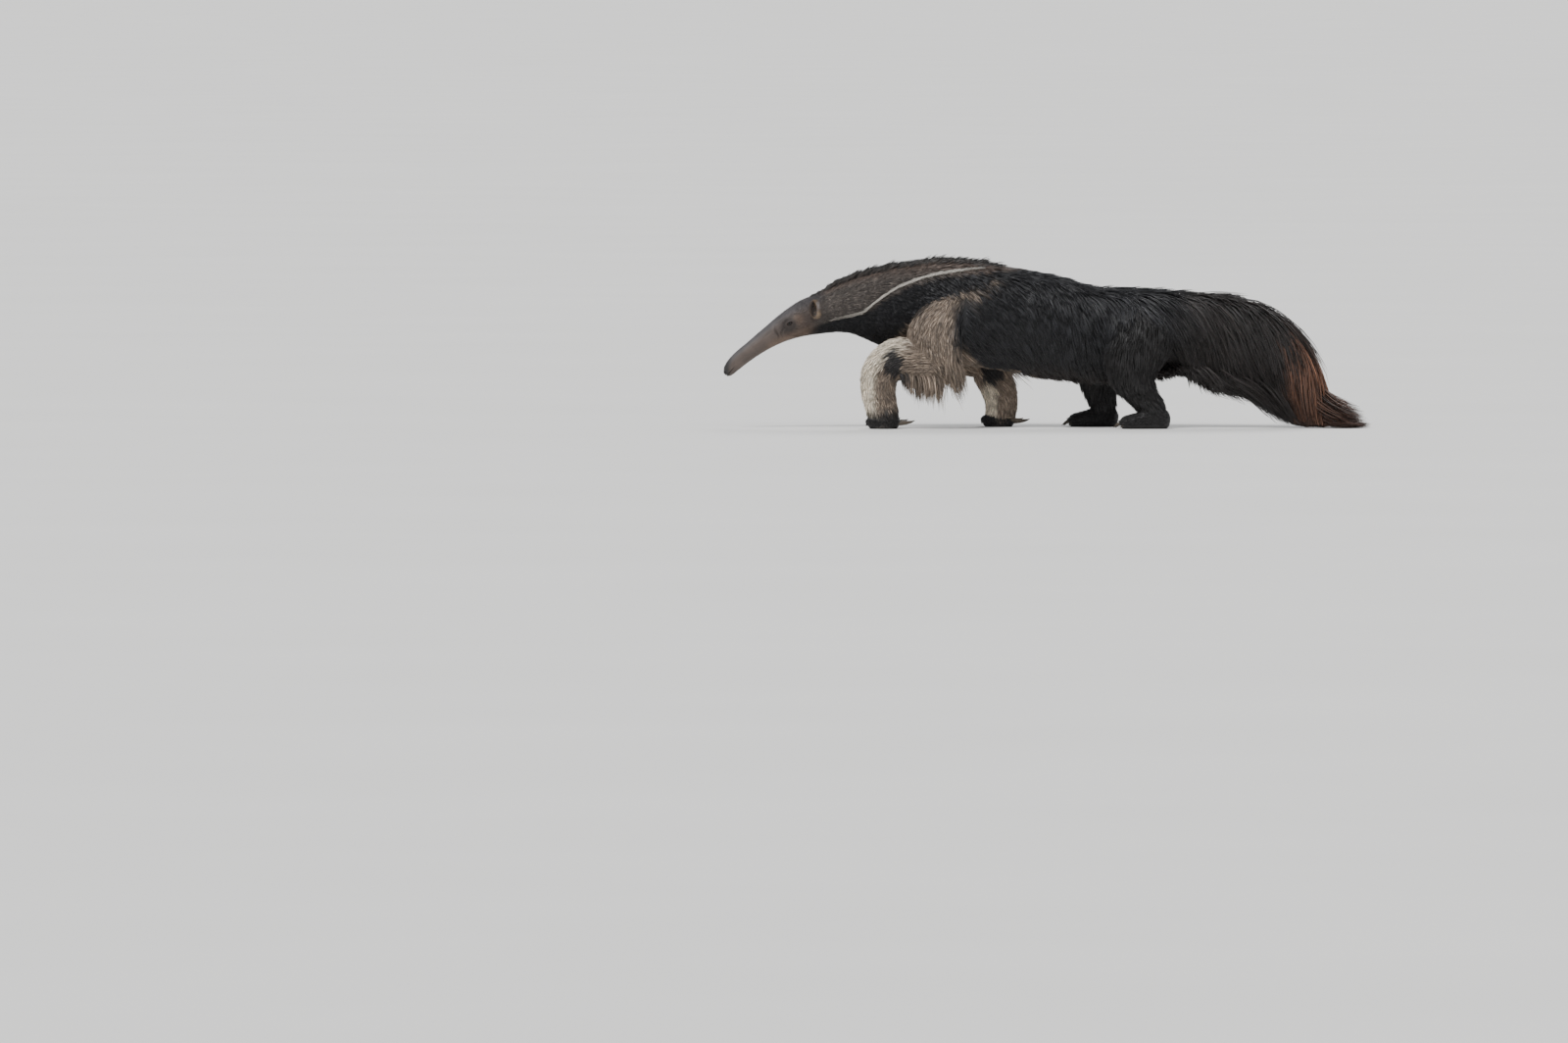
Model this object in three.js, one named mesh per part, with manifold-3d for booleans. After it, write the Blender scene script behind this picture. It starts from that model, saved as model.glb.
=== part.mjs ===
// A giant anteater in a walking stance, life size: head low, left forefoot reaching forward, tail trailing.
// Millimetres. +X runs from nose to tail, +Y is the animal's right side, +Z is up, and the floor is z = 0.
import * as THREE from 'three';
import { mergeVertices } from 'three/addons/utils/BufferGeometryUtils.js';
import Module from 'manifold-3d';

const wasm = await Module();
wasm.setup();

// Gap between neighbouring pieces, and how much a smooth piece grows to cut its neighbour.
const GAP = 0.3;
const CUT_GROW = 0.5;
const NEAREST_STEPS = 120;

// Body stations from nose to tail tip: x, z of the centreline, then reach above it, below it and to each side.
const BODY_STATIONS = {
  noseTip: [-899, 160, 8, 8, 9],
  lips: [-888, 170, 19, 18, 17],
  snoutEnd: [-860, 200.5, 25, 24, 21],
  snoutMiddle: [-814, 237.5, 27, 27, 24],
  snoutRoot: [-758, 277, 34, 34, 30],
  eyes: [-702, 310, 45, 45, 38],
  ears: [-649, 333, 56, 56, 47],
  nape: [-596, 346.5, 64, 63, 55],
  neckMiddle: [-540, 360, 77, 78, 65],
  neckRoot: [-484, 366, 93, 98, 79],
  chestFront: [-410, 363, 119, 122, 97],
  shoulders: [-322, 352, 147, 146, 116],
  withers: [-218, 345, 158, 155, 128],
  ribsFront: [-115, 336, 157, 155, 127],
  ribsMiddle: [-12, 322, 154, 153, 122],
  ribsRear: [92, 307, 147, 148, 116],
  loin: [195, 292, 132, 138, 110],
  flank: [298, 290, 126, 128, 105],
  hips: [386, 291, 120, 112, 95],
  rump: [460, 300, 106, 104, 78],
  tailRoot: [534, 308, 90, 120, 58],
  tailUpper: [631, 302, 82, 130, 47],
  tailMiddle: [732, 276, 70, 110, 41],
  tailLower: [802, 202, 60, 66, 34],
  tailEnd: [855, 118, 44, 40, 28],
  tailTip: [886, 54, 16, 16, 14],
};
const HEAD_END = 'nape';
const NECK_END = 'shoulders';
const TORSO_END = 'rump';

// Limb stations: x, y, z of the centreline, then reach behind it, in front of it and to each side.
const LEFT_UPPER_ARM = [
  [-120, -50, 430, 20, 20, 18],
  [-165, -74, 402, 44, 40, 34],
  [-215, -95, 356, 62, 62, 44],
  [-262, -108, 300, 78, 78, 54],
  [-272, -114, 240, 82, 80, 58],
  [-256, -117, 186, 60, 60, 52],
  [-246, -117, 146, 26, 26, 28],
];
const LEFT_FOREARM = [
  [-214, -116, 182, 34, 34, 32],
  [-250, -116, 198, 62, 58, 52],
  [-316, -114, 208, 66, 64, 56],
  [-380, -110, 206, 60, 66, 55],
  [-424, -106, 170, 52, 62, 53],
  [-434, -103, 120, 50, 56, 50],
  [-428, -100, 74, 48, 52, 47],
  [-420, -98, 34, 46, 48, 46],
  [-416, -97, -8, 38, 40, 40],
];
const LEFT_WRIST = 0.66;
const RIGHT_UPPER_ARM = [
  [-150, 50, 430, 20, 20, 18],
  [-182, 74, 400, 44, 40, 34],
  [-204, 94, 348, 66, 66, 45],
  [-200, 107, 290, 80, 80, 55],
  [-166, 113, 234, 78, 78, 57],
  [-122, 114, 196, 60, 58, 52],
  [-84, 114, 168, 26, 26, 28],
];
const RIGHT_FOREARM = [
  [-112, 112, 222, 34, 34, 32],
  [-108, 112, 190, 62, 56, 52],
  [-84, 110, 140, 54, 54, 52],
  [-66, 106, 96, 50, 52, 49],
  [-64, 102, 52, 46, 48, 47],
  [-68, 100, 18, 44, 46, 44],
  [-68, 100, -10, 36, 38, 38],
];
const RIGHT_WRIST = 0.6;
const LEFT_HIND_LEG = [
  [372, -30, 362, 50, 44, 30],
  [360, -74, 310, 96, 90, 52],
  [330, -92, 232, 92, 84, 58],
  [322, -100, 165, 70, 62, 50],
  [352, -102, 108, 46, 44, 40],
  [388, -102, 62, 38, 40, 37],
  [404, -102, 30, 30, 36, 34],
];
const RIGHT_HIND_LEG = [
  [352, 30, 362, 50, 44, 30],
  [322, 74, 305, 94, 90, 52],
  [270, 92, 228, 90, 82, 58],
  [232, 100, 165, 68, 62, 50],
  [232, 102, 110, 46, 44, 40],
  [244, 102, 62, 38, 40, 37],
  [250, 102, 30, 30, 36, 34],
];
// Hind foot stations from heel to toes, measured from the ankle: x, z, then reach above, below and to each side.
const HIND_FOOT = [
  [42, 26, 12, 20, 18],
  [26, 28, 28, 40, 33],
  [-14, 30, 30, 42, 37],
  [-60, 24, 24, 36, 41],
  [-96, 20, 18, 32, 38],
  [-108, 18, 8, 22, 28],
];
const HIND_ANKLE_SPREAD = 102;

// Locks have three sides: half widths and thicknesses from the root to the tip, as shares of the full ones.
const LOCK_WIDTHS = [0.75, 1, 0.92, 0.6, 0];
const LOCK_THICKNESSES = [1, 1, 0.85, 0.6, 0];
// How much more than its size a lock cuts out of a neighbour, and how deep its root goes.
const LOCK_CUT_GROW = 4;
const LOCK_SINK = 8;
// How low a hanging tip may come.
const TIP_CLEARANCE = 7;

// Rows of locks along the body. Angles count from the crest in degrees, and headings from straight back towards the
// belly. Heading, length and the tips' rise over the body go from a row's front to its rear. Half width and spacing
// are in millimetres. A weight of 0 keeps a lock straight, and a cling of 1 holds it to its height over the body.
const MANE = { from: 'nape', to: 'ribsFront', spacing: 18, length: [36, 52, 52, 66], lean: [38, 34, 30, 12], width: 11 };
const TORSO_ROWS = [
  { angle: 0, heading: [0, 0], length: [110, 130], rise: [8, 16], width: 30, spacing: 62, weight: 0, cling: 1 },
  { angle: 28, heading: [34, 38], length: [130, 160], rise: [14, 22], width: 33, spacing: 92, weight: 0.05, cling: 0.9 },
  { angle: 54, heading: [48, 52], length: [130, 170], rise: [16, 22], width: 33, spacing: 74, weight: 0.1, cling: 0.8 },
  { angle: 80, heading: [56, 62], length: [130, 170], rise: [16, 22], width: 33, spacing: 66, weight: 0.15, cling: 0.5 },
  { angle: 108, heading: [60, 66], length: [120, 140], rise: [16, 22], width: 34, spacing: 70, weight: 0.3, cling: 0 },
];
const TORSO_COAT = { from: 'ribsMiddle', to: 'rump' };
const TAIL_ROWS = [
  { angle: 0, heading: [0, 0], length: [140, 150], rise: [22, 26], width: 34, spacing: 70, weight: 0, cling: 1 },
  { angle: 40, heading: [46, 14], length: [220, 170], rise: [26, 28], width: 38, spacing: 80, weight: 0.1, cling: 0.7 },
  { angle: 90, heading: [58, 10], length: [240, 170], rise: [26, 28], width: 38, spacing: 76, weight: 0.24, cling: 0.3 },
  { angle: 146, heading: [50, 4], length: [170, 140], rise: [22, 30], width: 36, spacing: 96, weight: 0.4, cling: 0 },
];
const TAIL_COAT = { from: 'rump', to: 'tailEnd' };
// The plume's last locks, fanned out from the tail's end along the floor: spread in degrees.
const PLUME = { count: 7, length: 190, spread: 34, width: 25, height: 9, layer: 13, fall: 52 };

// Fringes on the limbs: angles count from the limb's rear, which on the left forearm is its underside.
const ELBOW_FRINGE = [
  { angle: 0, heading: [0, 0], length: [96, 104], rise: [18, 30], width: 27, spacing: 58, weight: 0.1, cling: 0 },
  { angle: 46, heading: [-14, -14], length: [90, 100], rise: [14, 22], width: 30, spacing: 74, weight: 0.1, cling: 0.5 },
];
const FOREARM_FRINGE = [
  { angle: 0, heading: [160, 160], length: [74, 60], rise: [30, 24], width: 25, spacing: 44, weight: 0.5, cling: 0 },
];
const THIGH_FRINGE = [
  { angle: 0, heading: [0, 0], length: [120, 100], rise: [24, 24], width: 30, spacing: 76, weight: 0.1, cling: 0.4 },
  { angle: 48, heading: [-10, -10], length: [120, 100], rise: [18, 18], width: 32, spacing: 76, weight: 0.1, cling: 0.6 },
  { angle: 96, heading: [-12, -12], length: [120, 90], rise: [14, 14], width: 32, spacing: 76, weight: 0.1, cling: 0.6 },
];
const LOCKS = {
  coat: { thick: 8, rings: 3, seed: 7 },
  tail: { thick: 10, rings: 4, seed: 24 },
  mane: { thick: 5, rings: 3, seed: 11 },
  elbow: { thick: 8, rings: 3, seed: 17 },
  thigh: { thick: 8, rings: 3, seed: 41 },
};

const EYE_RADIUS = 8;
const EYE_AT = { x: -703, z: 314, side: 31.5 };
const LID_RADIUS = 9.5;
const LID_THICKNESS = 2.6;
const EAR_AT = { x: -634, z: 360, side: 44 };
const EAR_SIZE = { depth: 19, thickness: 12, height: 27 };
const EAR_WALL = 3;
const NOSTRIL = { x: -897, z: 163, side: 9.5, radius: 4 };
const MOUTH = { length: 36, gap: 1.6, depth: 5, below: 6 };

const MATERIALS = {
  snout: new THREE.MeshStandardMaterial({ color: 0x6f665f, roughness: 0.75, metalness: 0 }),
  grey: new THREE.MeshStandardMaterial({ color: 0x5c534c, roughness: 0.9, metalness: 0 }),
  arm: new THREE.MeshStandardMaterial({ color: 0x8d8074, roughness: 0.92, metalness: 0 }),
  black: new THREE.MeshStandardMaterial({ color: 0x1d1c1f, roughness: 0.85, metalness: 0 }),
  tail: new THREE.MeshStandardMaterial({ color: 0x2e2522, roughness: 0.9, metalness: 0 }),
  claw: new THREE.MeshStandardMaterial({ color: 0x3a332b, roughness: 0.5, metalness: 0 }),
  eye: new THREE.MeshStandardMaterial({ color: 0x0d0a08, roughness: 0.08, metalness: 0 }),
};

// A closed mesh geometry as a manifold-3d solid.
function solid(geometry) {
  const bare = geometry.clone();
  bare.deleteAttribute('normal');
  bare.deleteAttribute('uv');
  const merged = mergeVertices(bare, 1e-4);
  return new wasm.Manifold(new wasm.Mesh({
    numProp: 3,
    vertProperties: new Float32Array(merged.attributes.position.array),
    triVerts: new Uint32Array(merged.index.array),
  }));
}

// The largest of a solid's closed surfaces.
function largest(shape) {
  const pieces = shape.decompose();
  pieces.sort((a, b) => b.volume() - a.volume());
  return pieces[0];
}

// An even draw from -1 to 1, the same in every run.
function makeDraw(seed) {
  let state = seed;
  return () => {
    state = (Math.imul(state, 1664525) + 1013904223) >>> 0;
    return state / 2 ** 31 - 1;
  };
}

// A named mesh of a solid's largest body.
function node(name, shape, material) {
  const made = largest(shape).getMesh();
  const geometry = new THREE.BufferGeometry();
  geometry.setAttribute('position', new THREE.BufferAttribute(made.vertProperties, 3));
  geometry.setIndex(new THREE.BufferAttribute(made.triVerts, 1));
  const mesh = new THREE.Mesh(geometry, material);
  mesh.name = name;
  return mesh;
}

// A rounded tube through stations of x, y, z and its reach towards its upper, lower and both sides.
class Tube {
  constructor(rows) {
    this.line = new THREE.CatmullRomCurve3(rows.map(([x, y, z]) => new THREE.Vector3(x, y, z)), false, 'catmullrom');
    this.reach = new THREE.CatmullRomCurve3(rows.map((row) => new THREE.Vector3(...row.slice(3))), false, 'catmullrom');
  }

  // Centre, directions and reaches at t, from 0 at the first station to 1 at the last.
  frame(t) {
    const along = this.line.getTangent(t);
    const side = new THREE.Vector3(0, 1, 0);
    side.addScaledVector(along, -side.dot(along)).normalize();
    const up = new THREE.Vector3().crossVectors(along, side);
    return { centre: this.line.getPoint(t), along, side, up, reach: this.reach.getPoint(t) };
  }

  // Point on the section at t, where across and above run from -1 to 1 and grow adds to each reach.
  point(t, across, above, grow = 0) {
    const { centre, side, up, reach } = this.frame(t);
    const height = above > 0 ? reach.x : reach.y;
    return centre
      .addScaledVector(side, across * (reach.z + grow))
      .addScaledVector(up, above * (height + grow));
  }

  // Directions along the surface at t: back along the tube, and round it away from its crest.
  surface(t, angle) {
    const sense = angle < 0 ? -1 : 1;
    const step = sense * 0.01;
    const around = this.point(t, Math.sin(angle + step), Math.cos(angle + step));
    around.sub(this.point(t, Math.sin(angle), Math.cos(angle))).normalize();
    return { along: this.frame(t).along, around };
  }

  // A point moved out to a height above the tube's nearest section, or by a share in to it, and the way out there.
  lifted(point, height, cling = 0) {
    let nearest = 0;
    for (let i = 1; i <= NEAREST_STEPS; i++) {
      const closer = this.line.getPoint(i / NEAREST_STEPS).distanceTo(point);
      if (closer < this.line.getPoint(nearest).distanceTo(point)) nearest = i / NEAREST_STEPS;
    }
    const { centre, side, up, reach } = this.frame(nearest);
    const offset = point.clone().sub(centre);
    const wide = reach.z + height;
    const tall = (offset.dot(up) > 0 ? reach.x : reach.y) + height;
    const across = offset.dot(side) / wide;
    const above = offset.dot(up) / tall;
    const share = Math.max(Math.hypot(across, above), 0.05);
    const push = (1 / share - 1) * (share < 1 ? 1 : cling);
    const moved = point.clone().addScaledVector(side, across * wide * push).addScaledVector(up, above * tall * push);
    const out = new THREE.Vector3().addScaledVector(side, across / wide).addScaledVector(up, above / tall).normalize();
    return { point: moved, out };
  }

  // The tube between two values of t, as a bent unit cylinder.
  loft(from, to, steps, sides, grow = 0) {
    const geometry = new THREE.CylinderGeometry(1, 1, 1, sides, steps);
    const position = geometry.attributes.position;
    for (let i = 0; i < position.count; i++) {
      const t = from + (0.5 - position.getY(i)) * (to - from);
      const p = this.point(THREE.MathUtils.clamp(t, 0, 1), position.getX(i), position.getZ(i), grow);
      position.setXYZ(i, p.x, p.y, p.z);
    }
    return solid(geometry);
  }
}

// A value part way along a list of evenly spread ones.
function blend(values, share) {
  const place = share * (values.length - 1);
  const index = Math.min(Math.floor(place), values.length - 2);
  return THREE.MathUtils.lerp(values[index], values[index + 1], place - index);
}

// A lock along its path: a cone of three sides, bent, with its ridge outward.
function lock({ points, outs }, width, thick, grow = 0) {
  const rings = points.length - 1;
  const path = new THREE.CatmullRomCurve3(points, false, 'catmullrom');
  const geometry = new THREE.ConeGeometry(1, 1, 3, rings);
  const position = geometry.attributes.position;
  for (let i = 0; i < position.count; i++) {
    const ring = Math.round((position.getY(i) + 0.5) * rings);
    const along = path.getTangent(ring / rings);
    const side = new THREE.Vector3().crossVectors(along, outs[ring]).normalize();
    const out = new THREE.Vector3().crossVectors(side, along);
    const p = points[ring].clone();
    const reach = Math.hypot(position.getX(i), position.getZ(i));
    if (ring === rings) {
      p.addScaledVector(along, grow);
    } else if (reach > 0) {
      p.addScaledVector(side, position.getX(i) / reach * (width * blend(LOCK_WIDTHS, ring / rings) + grow));
      p.addScaledVector(out, position.getZ(i) / reach * (thick * blend(LOCK_THICKNESSES, ring / rings) + grow));
    }
    position.setXYZ(i, p.x, p.y, p.z);
  }
  return solid(geometry);
}

// The path of a lock that leaves a tube at t and an angle, bends down under its weight and rises over the tube.
function hangingPath(tube, t, angle, { heading, length, rise, weight, cling, rings }) {
  const { along, around } = tube.surface(t, angle);
  const way = along.clone().multiplyScalar(Math.cos(heading)).addScaledVector(around, Math.sin(heading));
  const down = new THREE.Vector3(0, 0, -1);
  const root = tube.point(t, Math.sin(angle), Math.cos(angle), -LOCK_SINK);
  const points = [root];
  const outs = [tube.lifted(root, 0).out];
  for (let ring = 1; ring <= rings; ring++) {
    way.multiplyScalar(1 - weight).addScaledVector(down, weight).normalize();
    const next = points[ring - 1].clone().addScaledVector(way, length / rings);
    const height = (LOCK_SINK + rise) * (ring / rings) ** 0.75 - LOCK_SINK;
    const { point, out } = tube.lifted(next, height, cling);
    point.z = Math.max(point.z, TIP_CLEARANCE);
    points.push(point);
    outs.push(out);
  }
  return { points, outs };
}

// Locks in rows on both sides of a tube between two values of t, uneven by a seeded draw.
function coatRows(tube, rows, from, to, { thick, rings, seed }, grow = 0) {
  const draw = makeDraw(seed);
  const stretch = tube.line.getLength() * (to - from);
  const locks = [];
  rows.forEach((row, index) => {
    const count = Math.round(stretch / row.spacing);
    for (const hand of row.hands ?? (row.angle === 0 ? [1] : [-1, 1])) {
      for (let i = 0; i < count; i++) {
        const stagger = index % 2 ? 0.25 : -0.25;
        const share = THREE.MathUtils.clamp((i + 0.5 + stagger + draw() * 0.1) / count, 0, 1);
        const angle = THREE.MathUtils.degToRad(hand * row.angle + draw() * 2);
        const path = hangingPath(tube, from + share * (to - from), angle, {
          heading: THREE.MathUtils.degToRad(blend(row.heading, share) + draw() * 4),
          length: blend(row.length, share) * (1 + draw() * 0.12),
          rise: blend(row.rise, share) + (i % 2 ? 2.5 : -2.5),
          weight: row.weight,
          cling: row.cling,
          rings,
        });
        locks.push(lock(path, row.width * (1 + draw() * 0.06), thick, grow));
      }
    }
  });
  return locks;
}

const bodyNames = Object.keys(BODY_STATIONS);
const stationAt = (name) => bodyNames.indexOf(name) / (bodyNames.length - 1);
const fuse = (shape, others) => others.reduce((whole, other) => whole.add(other), shape);
const cutBy = (shapes, tool) => shapes.map((shape) => shape.subtract(tool));
const body = new Tube(Object.values(BODY_STATIONS).map(([x, z, up, down, side]) => [x, 0, z, up, down, side]));
// Half of the gap between two body pieces, as a share of the whole body's line.
const HALF_GAP = GAP / 2 / body.line.getLength();
const BODY_SIDES = 18;

// Everything on and above the floor.
const aboveFloor = solid(new THREE.BoxGeometry(3000, 1000, 1000).translate(0, 0, 500));

function mirrored(point, hand) {
  return new THREE.Vector3(point.x, point.side * hand, point.z);
}

function eyeBall(hand, grow = 0) {
  const centre = mirrored(EYE_AT, hand);
  return solid(new THREE.SphereGeometry(EYE_RADIUS + grow, 12, 8).translate(centre.x, centre.y, centre.z));
}

// The raised rim of the two lids round an eye.
function lids(hand) {
  const rim = new THREE.TorusGeometry(LID_RADIUS, LID_THICKNESS, 6, 16);
  rim.scale(1.15, 0.85, 1.2);
  rim.rotateX(Math.PI / 2);
  rim.rotateY(0.6);
  const centre = mirrored({ ...EYE_AT, side: EYE_AT.side + 4.2 }, hand);
  return solid(rim.translate(centre.x, centre.y, centre.z));
}

// The ear's cup: a flattened ellipsoid hollowed from its outer, front side.
function earCup(hand) {
  const { depth, thickness, height } = EAR_SIZE;
  const shell = solid(new THREE.SphereGeometry(1, 14, 9).scale(depth, thickness, height));
  const hollow = new THREE.SphereGeometry(1, 12, 8);
  hollow.scale(depth - EAR_WALL, thickness, height - EAR_WALL);
  hollow.translate(-EAR_WALL * 0.6, hand * thickness * 0.55, 0);
  const cup = shell.subtract(solid(hollow));
  const centre = mirrored(EAR_AT, hand);
  return cup.rotate([0, -28, hand * -12]).translate([centre.x, centre.y, centre.z]);
}

// The slit of the mouth, which runs round the snout's end below its middle.
function mouthSlit() {
  const lips = stationAt('lips');
  const { centre, along, side, up } = body.frame(lips);
  const plate = new THREE.BoxGeometry(MOUTH.length, 60, MOUTH.gap);
  plate.applyMatrix4(new THREE.Matrix4().makeBasis(along, side, up));
  centre.addScaledVector(up, -MOUTH.below).addScaledVector(along, 2);
  plate.translate(centre.x, centre.y, centre.z);
  return solid(plate).subtract(body.loft(0, stationAt('snoutMiddle'), 10, 16, -MOUTH.depth));
}

function nostril(hand) {
  const centre = mirrored(NOSTRIL, hand);
  const pit = new THREE.SphereGeometry(NOSTRIL.radius, 10, 8);
  pit.scale(1.1, 0.9, 1.3);
  return solid(pit.translate(centre.x, centre.y, centre.z));
}

function headCore(grow = 0) {
  return body.loft(0, stationAt(HEAD_END) - HALF_GAP, 22, 20, grow);
}

function head() {
  let shape = headCore();
  for (const hand of [-1, 1]) shape = shape.add(lids(hand));
  for (const hand of [-1, 1]) {
    shape = shape.subtract(eyeBall(hand, GAP)).subtract(nostril(hand));
  }
  return shape.subtract(mouthSlit());
}

// An ear, cut back from the head that it stands on.
function ear(hand) {
  return earCup(hand).subtract(headCore(CUT_GROW));
}

const leftUpperArm = new Tube(LEFT_UPPER_ARM);
const leftForearm = new Tube(LEFT_FOREARM);
const rightUpperArm = new Tube(RIGHT_UPPER_ARM);
const rightForearm = new Tube(RIGHT_FOREARM);
const LEG_SIDES = 11;

function foreleg(upper, lower, wrist, grow = 0) {
  return upper.loft(0, 1, 10, LEG_SIDES, grow).add(lower.loft(0, wrist, 10, LEG_SIDES, grow));
}

function forefoot(lower, wrist) {
  const gap = GAP / lower.line.getLength();
  return lower.loft(wrist + gap, 1, 8, LEG_SIDES).intersect(aboveFloor);
}

// A claw as a flattened, curved, pointed tube through its own stations, sunk in its foot.
function claw(rows) {
  return new Tube(rows).loft(0, 1, 4, 6);
}

// Four claws of a forefoot, folded back and inwards under the knuckles: length along the floor, thickness and place.
const FORE_CLAWS = [
  { length: 26, thick: 5, forward: -10, inward: 37, height: 30 },
  { length: 58, thick: 8, forward: -18, inward: 24, height: 24 },
  { length: 74, thick: 10, forward: -14, inward: 2, height: 20 },
  { length: 30, thick: 5.5, forward: -6, inward: -22, height: 18 },
];

function foreClaw({ length, thick, forward, inward, height }, foot, hand) {
  const x = foot.x + forward + 30;
  const y = foot.y - hand * inward;
  const bend = hand * length * 0.22;
  return claw([
    [x - 14, y, height + 2, thick * 0.7, thick * 0.7, thick * 0.7],
    [x + 4, y - bend * 0.1, height - 1, thick, thick, thick * 0.8],
    [x + length * 0.45, y - bend * 0.5, height - thick * 0.3, thick * 0.75, thick * 0.75, thick * 0.62],
    [x + length * 0.8, y - bend, height - thick * 0.1, thick * 0.42, thick * 0.42, thick * 0.36],
    [x + length, y - bend * 1.3, height + thick * 0.4, 0.8, 0.8, 0.8],
  ]);
}

const HIND_CLAWS = [
  { length: 22, thick: 4.5, inward: 28, back: 12 },
  { length: 28, thick: 5, inward: 15, back: 2 },
  { length: 30, thick: 5.2, inward: 0, back: -2 },
  { length: 28, thick: 5, inward: -15, back: 2 },
  { length: 22, thick: 4.5, inward: -28, back: 12 },
];
const HIND_CLAW_HEIGHT = 16;

function hindClaw({ length, thick, inward, back }, toes, hand) {
  const x = toes.x + back;
  const y = toes.y - hand * inward;
  return claw([
    [x + 14, y, HIND_CLAW_HEIGHT + 2, thick * 0.7, thick * 0.7, thick * 0.6],
    [x, y, HIND_CLAW_HEIGHT + 3, thick, thick, thick * 0.75],
    [x - length * 0.5, y, HIND_CLAW_HEIGHT - 1, thick * 0.75, thick * 0.75, thick * 0.55],
    [x - length, y, 3.5, 0.8, 0.8, 0.8],
  ]);
}

function hindFootTube(ankle, hand) {
  return new Tube([...HIND_FOOT].reverse().map(([x, z, up, down, side]) => [
    ankle + x, hand * HIND_ANKLE_SPREAD, z, up, down, side,
  ]));
}

// The stiff crest from the nape to behind the shoulders: locks on edge that lean back, in turn left and right of it.
function mane() {
  const { thick, rings, seed } = LOCKS.mane;
  const draw = makeDraw(seed);
  const from = stationAt(MANE.from);
  const to = stationAt(MANE.to);
  const count = Math.round(body.line.getLength() * (to - from) / MANE.spacing);
  const locks = [];
  for (let i = 0; i < count; i++) {
    const share = (i + 0.5) / count;
    const t = from + share * (to - from);
    const hand = i % 2 ? 1 : -1;
    const { along, up } = body.frame(t);
    const lean = THREE.MathUtils.degToRad(blend(MANE.lean, share) + draw() * 4);
    const length = blend(MANE.length, share) * (1 + draw() * 0.12);
    const points = [body.point(t, 0, 1, -LOCK_SINK).add(new THREE.Vector3(0, hand * thick * 0.7, 0))];
    for (let ring = 1; ring <= rings; ring++) {
      const slope = lean * (1.3 - 0.6 * ring / rings);
      const way = along.clone().multiplyScalar(Math.cos(slope)).addScaledVector(up, Math.sin(slope));
      way.y += hand * 0.04 + draw() * 0.02;
      points.push(points[ring - 1].clone().addScaledVector(way, (length + LOCK_SINK) / rings));
    }
    const outs = points.map(() => new THREE.Vector3(0, hand, 0));
    locks.push(lock({ points, outs }, MANE.width, thick));
  }
  return locks;
}

// The plume: long locks fanned out from the tail's end, which level out along the floor in two layers.
function plume() {
  const { thick, rings, seed } = LOCKS.tail;
  const draw = makeDraw(seed);
  const locks = [];
  for (let i = 0; i < PLUME.count; i++) {
    const fan = i / (PLUME.count - 1) * 2 - 1;
    const layer = i % 2;
    const spread = THREE.MathUtils.degToRad(fan * PLUME.spread);
    const root = body.point(stationAt('tailTip') - 0.012 * (1 + layer), fan * 0.5, 0.4 - layer * 0.6, -LOCK_SINK);
    const points = [root];
    for (let ring = 1; ring <= rings; ring++) {
      const fall = THREE.MathUtils.degToRad(PLUME.fall) * (1 - ring / (rings + 1));
      const step = PLUME.length * (1 + draw() * 0.04) / rings;
      const way = new THREE.Vector3(Math.cos(spread) * Math.cos(fall), Math.sin(spread) * Math.cos(fall), -Math.sin(fall));
      const next = points[ring - 1].clone().addScaledVector(way, step);
      next.z = Math.max(next.z, PLUME.height + layer * PLUME.layer * (1 - 0.6 * ring / rings));
      points.push(next);
    }
    const outs = points.map(() => new THREE.Vector3(Math.cos(spread) * 0.3, Math.sin(spread) * 0.3, 1));
    locks.push(lock({ points, outs }, PLUME.width, thick));
  }
  return locks;
}

const bodyCore = (from, to, steps, grow = 0) => {
  const longer = grow / body.line.getLength();
  return body.loft(from - longer, to + longer, steps, BODY_SIDES, grow);
};
const parting = { neck: stationAt(NECK_END), torso: stationAt(TORSO_END) };
const neckCore = (grow = 0) => bodyCore(stationAt(HEAD_END) + HALF_GAP, parting.neck - HALF_GAP, 10, grow);
const torsoCore = (grow = 0) => bodyCore(parting.neck + HALF_GAP, parting.torso - HALF_GAP, 18, grow);

// Everything behind the body's section at t.
function behind(t) {
  const { centre, along, side, up } = body.frame(t);
  const half = new THREE.BoxGeometry(2000, 1000, 2000).translate(1000, 0, 0);
  half.applyMatrix4(new THREE.Matrix4().makeBasis(along, side, up));
  return solid(half.translate(centre.x, centre.y, centre.z));
}

const model = new THREE.Group();
const torsoCut = neckCore(CUT_GROW).add(torsoCore(CUT_GROW));

const forelegs = [
  { label: 'left', hand: -1, upper: leftUpperArm, lower: leftForearm, wrist: LEFT_WRIST, foot: { x: -416, y: -97 } },
  { label: 'right', hand: 1, upper: rightUpperArm, lower: rightForearm, wrist: RIGHT_WRIST, foot: { x: -68, y: 100 } },
];
const hindLegs = [
  { label: 'left', hand: -1, tube: new Tube(LEFT_HIND_LEG), ankle: 400 },
  { label: 'right', hand: 1, tube: new Tube(RIGHT_HIND_LEG), ankle: 248 },
];
const hindLegCore = ({ tube }, grow = 0) => tube.loft(0, 1, 14, LEG_SIDES, grow);
const outward = (rows, hand) => rows.map((row) => ({ ...row, hands: [hand] }));
const thighLocks = ({ tube, hand }, grow = 0) => coatRows(tube, outward(THIGH_FRINGE, hand), 0.1, 0.6, LOCKS.thigh, grow);

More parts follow.
